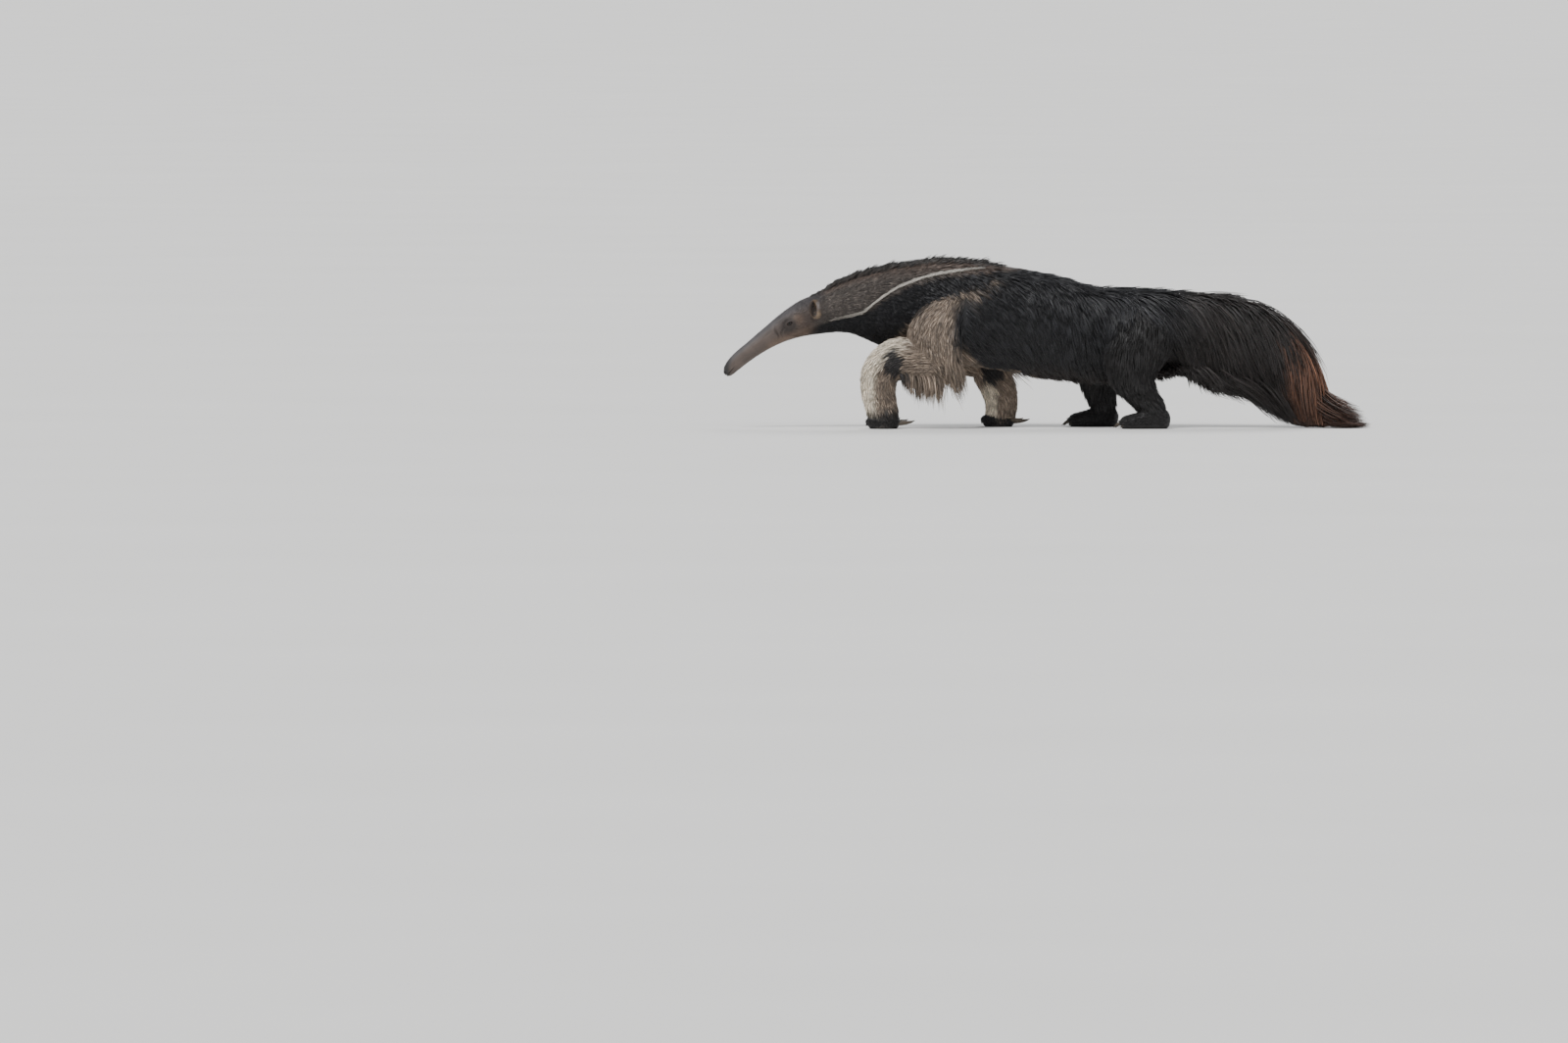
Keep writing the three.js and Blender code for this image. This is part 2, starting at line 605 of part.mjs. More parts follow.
// The torso's locks give way to the legs' flesh, and the tail's to the torso's locks and the hind legs.
const legCuts = [
  ...forelegs.map(({ upper, lower, wrist }) => foreleg(upper, lower, wrist, CUT_GROW)),
  ...hindLegs.map((leg) => hindLegCore(leg, CUT_GROW)),
];
const torsoCoat = (grow = 0) => coatRows(
  body, TORSO_ROWS, stationAt(TORSO_COAT.from), stationAt(TORSO_COAT.to), LOCKS.coat, grow,
);
const torsoEnd = behind(parting.torso - 4 * HALF_GAP);
const torsoLocks = [...legCuts, torsoEnd].reduce((locks, cut) => cutBy(locks, cut), torsoCoat());
const maneLocks = mane();
const torsoSide = behind(parting.neck + 4 * HALF_GAP);
const torso = fuse(torsoCore(), [...torsoLocks, ...maneLocks.map((shape) => shape.intersect(torsoSide))]);
const neck = fuse(neckCore(), cutBy(maneLocks, behind(parting.neck - 4 * HALF_GAP)));

model.add(node('head', head(), MATERIALS.snout));
for (const [label, hand] of [['left', -1], ['right', 1]]) {
  model.add(node(`eye_${label}`, eyeBall(hand), MATERIALS.eye));
  model.add(node(`ear_${label}`, ear(hand), MATERIALS.grey));
}
model.add(node('neck', neck, MATERIALS.grey));
model.add(node('torso', torso, MATERIALS.black));

const [firstLock, ...otherLocks] = torsoCoat(LOCK_CUT_GROW);
const torsoLocksCut = fuse(firstLock, otherLocks);
for (const { label, hand, upper, lower, wrist, foot } of forelegs) {
  const pawCut = lower.loft(wrist - GAP / lower.line.getLength(), 1, 8, LEG_SIDES, CUT_GROW);
  const fringe = [
    ...coatRows(upper, outward(ELBOW_FRINGE, hand), 0.36, 0.92, LOCKS.elbow),
    ...coatRows(lower, outward(FOREARM_FRINGE, hand), 0.12, wrist - 0.2, LOCKS.elbow),
  ];
  const flesh = foreleg(upper, lower, wrist).subtract(torsoCut);
  const cuts = torsoCut.add(torsoLocksCut).add(pawCut);
  model.add(node(`foreleg_${label}`, fuse(flesh, cutBy(fringe, cuts)).intersect(aboveFloor), MATERIALS.arm));
  model.add(node(`forefoot_${label}`, forefoot(lower, wrist), MATERIALS.arm));
  FORE_CLAWS.forEach((size, index) => {
    const shape = foreClaw(size, foot, hand).subtract(pawCut);
    model.add(node(`claw_fore_${label}_${index + 1}`, shape, MATERIALS.claw));
  });
}

for (const leg of hindLegs) {
  const { label, hand, ankle } = leg;
  const footTube = hindFootTube(ankle, hand);
  const toes = { x: ankle - 98, y: hand * HIND_ANKLE_SPREAD };
  const footCut = footTube.loft(0, 1, 10, LEG_SIDES, CUT_GROW);
  const locks = thighLocks(leg).map((shape) => shape.subtract(torsoCut).subtract(torsoLocksCut));
  const thigh = fuse(hindLegCore(leg).subtract(torsoCut), locks).subtract(footCut);
  model.add(node(`hind_leg_${label}`, thigh, MATERIALS.black));
  model.add(node(`hind_foot_${label}`, footTube.loft(0, 1, 10, LEG_SIDES).intersect(aboveFloor), MATERIALS.black));
  HIND_CLAWS.forEach((size, index) => {
    model.add(node(`claw_hind_${label}_${index + 1}`, hindClaw(size, toes, hand).subtract(footCut), MATERIALS.claw));
  });
}

const tailLocks = [
  ...coatRows(body, TAIL_ROWS, stationAt(TAIL_COAT.from) + 0.006, stationAt(TAIL_COAT.to), LOCKS.tail),
  ...plume(),
];
const tailCuts = hindLegs.map((leg) => fuse(hindLegCore(leg, CUT_GROW), thighLocks(leg, LOCK_CUT_GROW)));
const tailSide = behind(parting.torso + 4 * HALF_GAP);
const tailCoat = tailCuts.reduce((locks, cut) => cutBy(locks, cut), tailLocks.map((shape) => shape.intersect(tailSide)));
const tailFlesh = tailCuts.reduce((flesh, cut) => flesh.subtract(cut), bodyCore(parting.torso + HALF_GAP, 1, 14));
model.add(node('tail', fuse(tailFlesh, tailCoat).intersect(aboveFloor), MATERIALS.tail));

// The origin is the middle of the model's box, on the floor.
const box = new THREE.Box3().setFromObject(model);
model.position.set(-(box.min.x + box.max.x) / 2, -(box.min.y + box.max.y) / 2, 0);

export default model;
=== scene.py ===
import math

import bpy
import bmesh
import numpy as np
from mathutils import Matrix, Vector


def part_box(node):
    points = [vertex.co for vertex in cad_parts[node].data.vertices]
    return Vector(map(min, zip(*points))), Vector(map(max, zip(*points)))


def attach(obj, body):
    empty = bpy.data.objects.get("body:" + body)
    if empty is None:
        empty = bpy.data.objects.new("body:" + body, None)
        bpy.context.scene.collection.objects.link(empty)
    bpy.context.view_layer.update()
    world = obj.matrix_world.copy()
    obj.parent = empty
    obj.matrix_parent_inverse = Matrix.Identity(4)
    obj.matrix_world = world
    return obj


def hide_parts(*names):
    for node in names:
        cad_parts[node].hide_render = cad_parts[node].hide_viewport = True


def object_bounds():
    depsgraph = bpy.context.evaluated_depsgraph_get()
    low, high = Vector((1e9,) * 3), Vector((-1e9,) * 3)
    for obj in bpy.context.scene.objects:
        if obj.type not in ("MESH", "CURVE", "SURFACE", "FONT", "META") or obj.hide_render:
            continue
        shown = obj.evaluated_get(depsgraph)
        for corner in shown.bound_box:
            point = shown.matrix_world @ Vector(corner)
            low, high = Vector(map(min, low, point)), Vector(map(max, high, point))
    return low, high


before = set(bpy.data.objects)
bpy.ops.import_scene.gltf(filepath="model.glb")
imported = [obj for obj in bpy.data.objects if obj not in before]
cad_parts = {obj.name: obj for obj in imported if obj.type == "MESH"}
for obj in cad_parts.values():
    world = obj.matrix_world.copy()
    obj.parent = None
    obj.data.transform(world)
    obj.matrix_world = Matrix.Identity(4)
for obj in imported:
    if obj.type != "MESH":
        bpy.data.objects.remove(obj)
CAD_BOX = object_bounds()

bl_info = {
    "name": "Giant Anteater",
    "version": (1, 0, 0),
    "blender": (4, 5, 0),
    "location": "View3D > Sidebar > Anteater",
    "description": "Skin, coat, eyes, claws and stage of a life-size giant anteater",
    "category": "Object",
}

# Lengths are in millimetres in the animal's own frame: +X runs from nose to tail, +Y is its right side,
# +Z is up and the floor is z = 0. place() turns them into metres in the model's frame.
MILLIMETRE = 0.001
EYE_AT = np.array([-703.0, 31.5, 314.0])
EYE_RADIUS = 8.0

# Body stations from nose to tail tip: x, z of the centreline, then reach above it, below it and to each side.
BODY_STATIONS = {
    "noseTip": (-899, 160, 8, 8, 9),
    "lips": (-888, 170, 19, 18, 17),
    "snoutEnd": (-860, 200.5, 25, 24, 21),
    "snoutMiddle": (-814, 237.5, 27, 27, 24),
    "snoutRoot": (-758, 277, 34, 34, 30),
    "eyes": (-702, 310, 45, 45, 38),
    "ears": (-649, 333, 56, 56, 47),
    "nape": (-596, 346.5, 64, 63, 55),
    "neckMiddle": (-540, 360, 77, 78, 65),
    "neckRoot": (-484, 366, 93, 98, 79),
    "chestFront": (-410, 363, 119, 122, 97),
    "shoulders": (-322, 352, 147, 146, 116),
    "withers": (-218, 345, 158, 155, 128),
    "ribsFront": (-115, 336, 157, 155, 127),
    "ribsMiddle": (-12, 322, 154, 153, 122),
    "ribsRear": (92, 307, 147, 148, 116),
    "loin": (195, 292, 132, 138, 110),
    "flank": (298, 290, 126, 128, 105),
    "hips": (386, 291, 120, 112, 95),
    "rump": (460, 300, 106, 104, 78),
    "tailRoot": (534, 308, 90, 120, 58),
    "tailUpper": (631, 302, 82, 130, 47),
    "tailMiddle": (732, 276, 70, 110, 41),
    "tailLower": (802, 202, 60, 66, 34),
    "tailEnd": (855, 118, 44, 40, 28),
    "tailTip": (886, 54, 16, 16, 14),
}
# How far the skin lies inside the body's outline, under the coat.
COAT_DEPTH = {
    "noseTip": 0, "lips": 0, "snoutEnd": 0, "snoutMiddle": 0, "snoutRoot": 0.4, "eyes": 0.8, "ears": 1.6,
    "nape": 3, "neckMiddle": 5, "neckRoot": 6, "chestFront": 7,
    "tailRoot": 10, "tailUpper": 10, "tailMiddle": 10, "tailLower": 8, "tailEnd": 6, "tailTip": 3,
}
TORSO_COAT_DEPTH = 8
LIMB_COAT_DEPTH = 4
FOOT_COAT_DEPTH = 2

# Limb stations: x, y, z of the centreline, then reach behind it, in front of it and to each side.
LEFT_UPPER_ARM = [
    (-120, -50, 430, 20, 20, 18),
    (-165, -74, 402, 44, 40, 34),
    (-215, -95, 356, 62, 62, 44),
    (-262, -108, 300, 78, 78, 54),
    (-272, -114, 240, 82, 80, 58),
    (-256, -117, 186, 60, 60, 52),
    (-246, -117, 146, 26, 26, 28),
]
LEFT_FOREARM = [
    (-214, -116, 182, 34, 34, 32),
    (-250, -116, 198, 62, 58, 52),
    (-316, -114, 208, 66, 64, 56),
    (-380, -110, 206, 60, 66, 55),
    (-424, -106, 170, 52, 62, 53),
    (-434, -103, 120, 50, 56, 50),
    (-428, -100, 74, 48, 52, 47),
    (-420, -98, 34, 46, 48, 46),
    (-416, -97, -8, 38, 40, 40),
]
RIGHT_UPPER_ARM = [
    (-150, 50, 430, 20, 20, 18),
    (-182, 74, 400, 44, 40, 34),
    (-204, 94, 348, 66, 66, 45),
    (-200, 107, 290, 80, 80, 55),
    (-166, 113, 234, 78, 78, 57),
    (-122, 114, 196, 60, 58, 52),
    (-84, 114, 168, 26, 26, 28),
]
RIGHT_FOREARM = [
    (-112, 112, 222, 34, 34, 32),
    (-108, 112, 190, 62, 56, 52),
    (-84, 110, 140, 54, 54, 52),
    (-66, 106, 96, 50, 52, 49),
    (-64, 102, 52, 46, 48, 47),
    (-68, 100, 18, 44, 46, 44),
    (-68, 100, -10, 36, 38, 38),
]
LEFT_HIND_LEG = [
    (372, -30, 362, 50, 44, 30),
    (360, -74, 310, 96, 90, 52),
    (330, -92, 232, 92, 84, 58),
    (322, -100, 165, 70, 62, 50),
    (352, -102, 108, 46, 44, 40),
    (388, -102, 62, 38, 40, 37),
    (404, -102, 30, 30, 36, 34),
]
RIGHT_HIND_LEG = [
    (352, 30, 362, 50, 44, 30),
    (322, 74, 305, 94, 90, 52),
    (270, 92, 228, 90, 82, 58),
    (232, 100, 165, 68, 62, 50),
    (232, 102, 110, 46, 44, 40),
    (244, 102, 62, 38, 40, 37),
    (250, 102, 30, 30, 36, 34),
]
# Hind foot stations from toes to heel, measured from the ankle: x, z, then reach above, below and sideways.
HIND_FOOT = [
    (-108, 18, 8, 22, 28),
    (-96, 20, 18, 32, 38),
    (-60, 24, 24, 36, 41),
    (-14, 30, 30, 42, 37),
    (26, 28, 28, 40, 33),
    (42, 26, 12, 20, 18),
]
# Forefoot stations from front to back, measured from the foot's middle.
FORE_FOOT = [
    (-55, 20, 8, 15, 20),
    (-47, 21, 14, 24, 34),
    (-20, 23, 18, 31, 44),
    (14, 23, 18, 31, 44),
    (38, 22, 13, 27, 32),
    (46, 20, 6, 14, 16),
]
HIND_ANKLES = {-1: 400, 1: 248}
HIND_ANKLE_SPREAD = 102

# Claws: length, thickness and place from the middle of the foot, as in the solids.
FORE_FEET = {-1: (-416, -97), 1: (-68, 100)}
FORE_CLAWS = [
    dict(length=26, thick=5, forward=-10, inward=37, height=30),
    dict(length=58, thick=8, forward=-18, inward=24, height=24),
    dict(length=74, thick=10, forward=-14, inward=2, height=20),
    dict(length=30, thick=5.5, forward=-6, inward=-22, height=18),
]
HIND_CLAWS = [
    dict(length=22, thick=4.5, inward=28, back=12),
    dict(length=28, thick=5, inward=15, back=2),
    dict(length=30, thick=5.2, inward=0, back=-2),
    dict(length=28, thick=5, inward=-15, back=2),
    dict(length=22, thick=4.5, inward=-28, back=12),
]
HIND_CLAW_HEIGHT = 16
# How far a hind foot's knuckles lie in front of its ankle, and a forefoot's claw roots behind its middle.
HIND_KNUCKLES = 98
FORE_CLAW_ROOTS = 30
CLAW_TIP = 0.8

# Markings on the side of the body: x and z of points on the white line and on the black band's lower edge.
WHITE_LINE = [
    (-640, 300), (-587, 322), (-513, 345), (-484, 350), (-454, 372), (-425, 392), (-381, 419), (-336, 437),
    (-292, 451), (-233, 463), (-159, 472), (-115, 474), (-60, 474),
]
BAND_BOTTOM = [
    (-640, 240), (-469, 240), (-410, 283), (-366, 319), (-322, 348), (-277, 381), (-218, 407), (-159, 425),
    (-100, 451), (-60, 474),
]
# The rear edge of the grey-brown shoulder and arm, as height and x.
SHOULDER_REAR = [
    (80, -120), (180, -140), (228, -168), (260, -204), (300, -216), (355, -205), (400, -175), (452, -100),
]
# How far the right arm lies behind the left one, as height and distance.
RIGHT_ARM_BACK = [(180, 146), (234, 104), (290, 60), (350, 11), (420, 0)]
# The black patch on each forearm: x and z of its middle.
ARM_PATCH = {"forearm_left": (-383, 204), "forearm_right": (-98, 180)}

EAR_AT = np.array([-632.0, 43.0, 358.0])
EAR_RIM = (11.8, 26.5)
EAR_DEPTH = 12.0
EAR_WALL = 2.4
EAR_RINGS = 10
EAR_SIDES = 40


def srgb(red, green, blue):
    """A display colour from 0 to 255 as a linear one."""
    values = np.array([red, green, blue]) / 255
    return np.where(values <= 0.04045, values / 12.92, ((values + 0.055) / 1.055) ** 2.4)


COLOURS = {
    "snout": srgb(81, 70, 64),
    # Painted bluish sheen for the top of the snout.
    "snout_sheen": srgb(72, 70, 72),
    "cheek": srgb(107, 87, 72),
    "lid": srgb(42, 33, 29),
    "nose": srgb(36, 34, 33),
    "neck": srgb(84, 77, 72),
    "nape": srgb(90, 73, 63),
    "white": srgb(204, 198, 188),
    "black": srgb(17, 17, 21),
    "arm": srgb(124, 110, 97),
    "cream": srgb(210, 199, 181),
    "flank": srgb(38, 30, 26),
    "tail": srgb(27, 21, 19),
    "tail_brown": srgb(98, 66, 49),
    "mane": srgb(28, 25, 25),
    "leg": srgb(25, 23, 23),
    "ear": srgb(44, 31, 25),
    "ear_hair": srgb(150, 129, 105),
    "claw": srgb(92, 80, 66),
    "pupil": srgb(8, 7, 7),
    "iris": srgb(34, 24, 18),
    "eye_rim": srgb(58, 44, 38),
}


def normalised(vectors):
    """Vectors of length one along the last axis."""
    return vectors / np.maximum(np.linalg.norm(vectors, axis=-1, keepdims=True), 1e-9)


def dot(a, b):
    """Dot products along the last axis."""
    return np.einsum("...i,...i->...", a, b)


def smoothstep(low, high, value):
    """0 below low, 1 above high, smooth between them."""
    share = np.clip((value - low) / (high - low), 0, 1)
    return share * share * (3 - 2 * share)


def mixed(a, b, share):
    """Colours a turned towards b by a share for each."""
    return a + (b - a) * np.asarray(share)[..., None]


def spline(rows, t):
    """Rows of numbers at t, from 0 at the first row to 1 at the last, along a Catmull-Rom curve."""
    ends = np.vstack([2 * rows[0] - rows[1], rows, 2 * rows[-1] - rows[-2]])
    place = np.clip(t, 0, 1) * (len(rows) - 1)
    index = np.minimum(place.astype(int), len(rows) - 2)
    f = (place - index)[:, None]
    p0, p1, p2, p3 = (ends[index + k] for k in range(4))
    square = 2 * p0 - 5 * p1 + 4 * p2 - p3
    cube = 3 * (p1 - p2) + p3 - p0
    return 0.5 * (2 * p1 + (p2 - p0) * f + square * f**2 + cube * f**3)


def softened_line(points, samples=120, window=9):
    """A smooth curve through points, averaged a little so that it shows no kinks."""
    curve = spline(np.array(points, float), np.linspace(0, 1, samples))
    padded = np.pad(curve[:, 1], window // 2, mode="reflect", reflect_type="odd")
    curve[:, 1] = np.convolve(padded, np.full(window, 1 / window), mode="valid")
    return curve


WHITE_CURVE = softened_line(WHITE_LINE)


def between_rings(rings, sides, start=0):
    """Triangles between closed rings of vertices that follow each other."""
    triangles = []
    for ring in range(rings - 1):
        for k in range(sides):
            a = start + ring * sides + k
            b = start + ring * sides + (k + 1) % sides
            triangles += [(a, b, b + sides), (a, b + sides, a + sides)]
    return triangles


def over_ends(rings, sides):
    """Triangles from the first and the last ring to the two points that follow all rings."""
    triangles = []
    last = (rings - 1) * sides
    for k in range(sides):
        following = (k + 1) % sides
        triangles.append((rings * sides, following, k))
        triangles.append((rings * sides + 1, last + k, last + following))
    return triangles


class Tube:
    """A rounded tube through rows of x, y, z and its reach towards its upper, lower and both sides."""

    SAMPLES = 240

    def __init__(self, rows):
        self.rows = np.array(rows, float)
        self.samples = spline(self.rows[:, :3], np.linspace(0, 1, self.SAMPLES + 1))
        self.length = np.linalg.norm(np.diff(self.samples, axis=0), axis=1).sum()

    def frame(self, t):
        """Centre, directions and reaches at each t."""
        step = 0.002
        ahead = spline(self.rows[:, :3], np.minimum(t + step, 1))
        along = normalised(ahead - spline(self.rows[:, :3], np.maximum(t - step, 0)))
        side = np.array([0.0, 1.0, 0.0]) - along * along[:, 1:2]
        side = normalised(side)
        both = spline(self.rows, t)
        return both[:, :3], along, side, np.cross(along, side), both[:, 3:]

    def point(self, t, angle, grow=0.0):
        """Points on the surface at t and an angle from the crest, moved out by grow."""
        centre, _, side, up, reach = self.frame(t)
        tall = np.where(np.cos(angle) > 0, reach[:, 0], reach[:, 1]) + grow
        across = (np.sin(angle) * (reach[:, 2] + grow))[:, None]
        return centre + side * across + up * (np.cos(angle) * tall)[:, None]

    def around(self, t, angle):
        """The direction round the surface, away from the crest."""
        step = np.where(angle < 0, -0.02, 0.02)
        return normalised(self.point(t, angle + step) - self.point(t, angle))

    def nearest(self, points):
        """The t of the centreline's points nearest to given ones."""
        lines = self.samples
        far = (lines**2).sum(1)[None] - 2 * points @ lines.T
        index = far.argmin(1)
        before = np.maximum(index - 1, 0)
        after = np.minimum(index + 1, self.SAMPLES)
        step = lines[after] - lines[before]
        shift = dot(points - lines[index], step) / dot(step, step) * (after - before)
        return np.clip((index + np.clip(shift, -0.5, 0.5)) / self.SAMPLES, 0, 1)

    def coordinates(self, points):
        """t, angle and share of the reach at given points, with what lies past the ends counted in."""
        t = self.nearest(points)
        centre, forward, side, up, reach = self.frame(t)
        offset = points - centre
        above = dot(offset, up)
        across = dot(offset, side) / reach[:, 2]
        above = above / np.where(above > 0, reach[:, 0], reach[:, 1])
        past = np.where((t <= 0) | (t >= 1), dot(offset, forward) / reach[:, 2], 0)
        return t, np.arctan2(across, above), np.sqrt(across**2 + above**2 + past**2), reach[:, 2]

    def lifted(self, points, height, cling):
        """Points moved out to a height over the tube, or by a share in to it, and the way out there."""
        centre, _, side, up, reach = self.frame(self.nearest(points))
        offset = points - centre
        rise = dot(offset, up)
        wide = reach[:, 2] + height
        tall = np.where(rise > 0, reach[:, 0], reach[:, 1]) + height
        across = dot(offset, side) / wide
        above = rise / tall
        share = np.maximum(np.hypot(across, above), 0.05)
        push = (1 / share - 1) * np.where(share < 1, 1, cling)
        moved = points + side * (across * wide * push)[:, None] + up * (above * tall * push)[:, None]
        return moved, normalised(side * (across / wide)[:, None] + up * (above / tall)[:, None])

    def mesh(self, steps, sides):
        """Closed surface of the tube as vertices and triangles."""
        t = np.repeat(np.linspace(0, 1, steps + 1), sides)
        angle = np.tile(np.arange(sides) / sides * 2 * math.pi, steps + 1)
        ends = self.frame(np.array([0.0, 1.0]))[0]
        triangles = between_rings(steps + 1, sides) + over_ends(steps + 1, sides)
        return np.vstack([self.point(t, angle), ends]), np.array(triangles)[:, ::-1]


def station(name):
    """The t of a named station of the body."""
    names = list(BODY_STATIONS)
    return names.index(name) / (len(names) - 1)


def shrunk(rows, depth):
    """Limb rows with each reach made smaller by the coat's depth."""
    return [row[:3] + tuple(reach - depth for reach in row[3:]) for row in rows]


def hind_foot_rows(hand):
    """Stations of a hind foot in the animal's frame."""
    ankle = HIND_ANKLES[hand]
    return [(ankle + x, hand * HIND_ANKLE_SPREAD, z, up, down, side) for x, z, up, down, side in HIND_FOOT]


def forefoot_rows(hand):
    """Stations of a closed forefoot in the animal's frame."""
    foot_x, foot_y = FORE_FEET[hand]
    return [(foot_x + x, foot_y, z, up, down, side) for x, z, up, down, side in FORE_FOOT]


def body_rows():
    """Stations of the body's skin."""
    rows = []
    for name, (x, z, up, down, side) in BODY_STATIONS.items():
        depth = COAT_DEPTH.get(name, TORSO_COAT_DEPTH)
        rows.append((x, 0, z, up - depth, down - depth, side - depth))
    return rows


TUBES = {
    "body": Tube(body_rows()),
    "upper_arm_left": Tube(shrunk(LEFT_UPPER_ARM, LIMB_COAT_DEPTH)),
    "forearm_left": Tube(shrunk(LEFT_FOREARM, LIMB_COAT_DEPTH)),
    "upper_arm_right": Tube(shrunk(RIGHT_UPPER_ARM, LIMB_COAT_DEPTH)),
    "forearm_right": Tube(shrunk(RIGHT_FOREARM, LIMB_COAT_DEPTH)),
    "hind_leg_left": Tube(shrunk(LEFT_HIND_LEG, LIMB_COAT_DEPTH)),
    "hind_leg_right": Tube(shrunk(RIGHT_HIND_LEG, LIMB_COAT_DEPTH)),
    "forefoot_left": Tube(shrunk(forefoot_rows(-1), FOOT_COAT_DEPTH)),
    "forefoot_right": Tube(shrunk(forefoot_rows(1), FOOT_COAT_DEPTH)),
    "hind_foot_left": Tube(shrunk(hind_foot_rows(-1), FOOT_COAT_DEPTH)),
    "hind_foot_right": Tube(shrunk(hind_foot_rows(1), FOOT_COAT_DEPTH)),
}
HANDS = {"left": -1, "right": 1}


def frame_shift():
    """Where the animal's own origin lies in the model's frame, in metres."""
    low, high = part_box("eye_left")
    middle = (np.array(low) + np.array(high)) / 2
    left_eye = EYE_AT * np.array([1, -1, 1])
    return middle - left_eye * MILLIMETRE


SHIFT = frame_shift()
# Hair that reaches past the limits on either side is pressed back towards them by a share.
SIDE_MARGIN = 0.004
SIDE_LIMITS = (
    (CAD_BOX[0][1] - SIDE_MARGIN - SHIFT[1]) / MILLIMETRE,
    (CAD_BOX[1][1] + SIDE_MARGIN - SHIFT[1]) / MILLIMETRE,
)
SIDE_PRESS = 0.85


def place(points):
    """Points in millimetres of the animal's frame as metres in the model's frame."""
    return points * MILLIMETRE + SHIFT


def unplace(points):
    """Points in metres of the model's frame as millimetres in the animal's."""
    return (points - SHIFT) / MILLIMETRE


def make_object(name, vertices, triangles):
    """A new smooth object in the scene from arrays, riding on the body."""
    mesh = bpy.data.meshes.new(name)
    mesh.vertices.add(len(vertices))
    mesh.vertices.foreach_set("co", place(vertices).astype(np.float32).ravel())
    mesh.loops.add(triangles.size)
    mesh.loops.foreach_set("vertex_index", triangles.astype(np.int32).ravel())
    mesh.polygons.add(len(triangles))
    mesh.polygons.foreach_set("loop_start", np.arange(0, triangles.size, 3, dtype=np.int32))
    mesh.update(calc_edges=True)
    mesh.shade_smooth()
    thing = bpy.data.objects.new(name, mesh)
    bpy.context.scene.collection.objects.link(thing)
    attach(thing, "root")
    return thing


def paint(mesh, colours):
    """Stores a colour on each vertex, which the materials read."""
    layer = mesh.color_attributes.new(name="coat_colour", type="FLOAT_COLOR", domain="POINT")
    opaque = np.hstack([colours, np.ones((len(colours), 1))])
    layer.data.foreach_set("color", opaque.astype(np.float32).ravel())


def filled(name, count):
    """One of the colours, repeated."""
    return np.repeat(COLOURS[name][None], count, 0)


def shoulder_share(points):
    """How far each point belongs to the grey-brown shoulder and arm."""
    x, y, z = points.T
    x = x - np.where(y > 0, np.interp(z, *np.array(RIGHT_ARM_BACK).T), 0)
    rear = np.interp(z, *np.array(SHOULDER_REAR).T)
    bottom = np.interp(x, *np.array(BAND_BOTTOM).T)
    wander = 8 * drifting(points, 60, 5) + 7 * drifting(points, 21, 15)
    return smoothstep(16, -16, z - bottom + wander) * smoothstep(26, -26, x - rear + wander)


def body_markings(points, angle):
    """Colours of head, neck, torso and tail at points of the body's surface."""
    x, _, z = points.T
    count = len(points)
    line = np.interp(x, *WHITE_CURVE.T)
    crest = np.degrees(np.abs(angle))

    # Black flanks turn brown low down and towards the tail, whose rear hair is reddish brown.
    low = smoothstep(260, 190, z) * smoothstep(-60, 20, x)
    colour = mixed(filled("black", count), COLOURS["flank"], low * 0.8)
    colour = mixed(colour, COLOURS["tail"], smoothstep(330, 480, x))
    brown = smoothstep(700, 800, x) * (0.45 + 0.55 * smoothstep(70, 20, crest))
    colour = mixed(colour, COLOURS["tail_brown"], brown * 0.85)

    # Grey-brown neck above the line, fading out behind the shoulders.
    neck = mixed(filled("neck", count), COLOURS["nape"], 0.6 * smoothstep(45, 15, crest))
    neck = neck * (1 + 0.2 * drifting(points, 26, 3))[:, None]
    colour = mixed(colour, neck, smoothstep(-3, 3, z - line) * smoothstep(0, -150, x))

    # Grey-brown shoulder below the band and in front of the ribs, with the dark chest in front of it.
    shoulder = shoulder_share(points) * smoothstep(-440, -400, x) * smoothstep(150, 190, z)
    shoulder = shoulder * (1 - 0.3 * smoothstep(390, 450, z))
    colour = mixed(colour, COLOURS["arm"], shoulder)

    # Head: smooth skin, paler on the cheek, with a painted bluish sheen on top, dark at the nose and round
    # the eye.
    face = mixed(filled("snout", count), COLOURS["snout_sheen"], smoothstep(80, 30, crest) * 0.85)
    face = mixed(face, COLOURS["cheek"], smoothstep(96, 140, crest) * smoothstep(-800, -740, x) * 0.75)
    face = face * (1 + 0.09 * drifting(points, 34, 4))[:, None]
    side = smoothstep(40, 60, crest)
    # Painted shade: the face is darkened where its deepest folds lie, in front of and below the eye.
    folds = np.hypot((x + 724) / 26, (z - 292) / 17)
    face = mixed(face, COLOURS["lid"], smoothstep(1.5, 0.4, folds) * 0.45 * side)
    brow = np.hypot(x - EYE_AT[0] - 24, z - EYE_AT[2] - 12)
    face = mixed(face, COLOURS["cheek"], smoothstep(24, 8, brow) * 0.45 * side)
    eye = np.hypot((x - EYE_AT[0] + 2) / 1.15, z - EYE_AT[2] + 5)
    face = mixed(face, COLOURS["lid"], smoothstep(32, 13, eye) * 0.93 * side)
    face = mixed(face, COLOURS["nose"], smoothstep(-876, -893, x))
    return mixed(colour, face, smoothstep(-606, -648, x - 0.25 * (z - 340)))


def line_share(points):
    """How far each point lies on the thin white line along the neck."""
    x, y, z = points.T
    line = np.interp(x, *WHITE_CURVE.T)
    rise = np.interp(x + 4, *WHITE_CURVE.T) - line
    offset = np.abs(z - line) / np.hypot(1, rise / 4)
    ends = smoothstep(-610, -560, x) * smoothstep(-70, -160, x)
    return smoothstep(4.5, 2.0, offset) * ends * (np.abs(y) > 8)


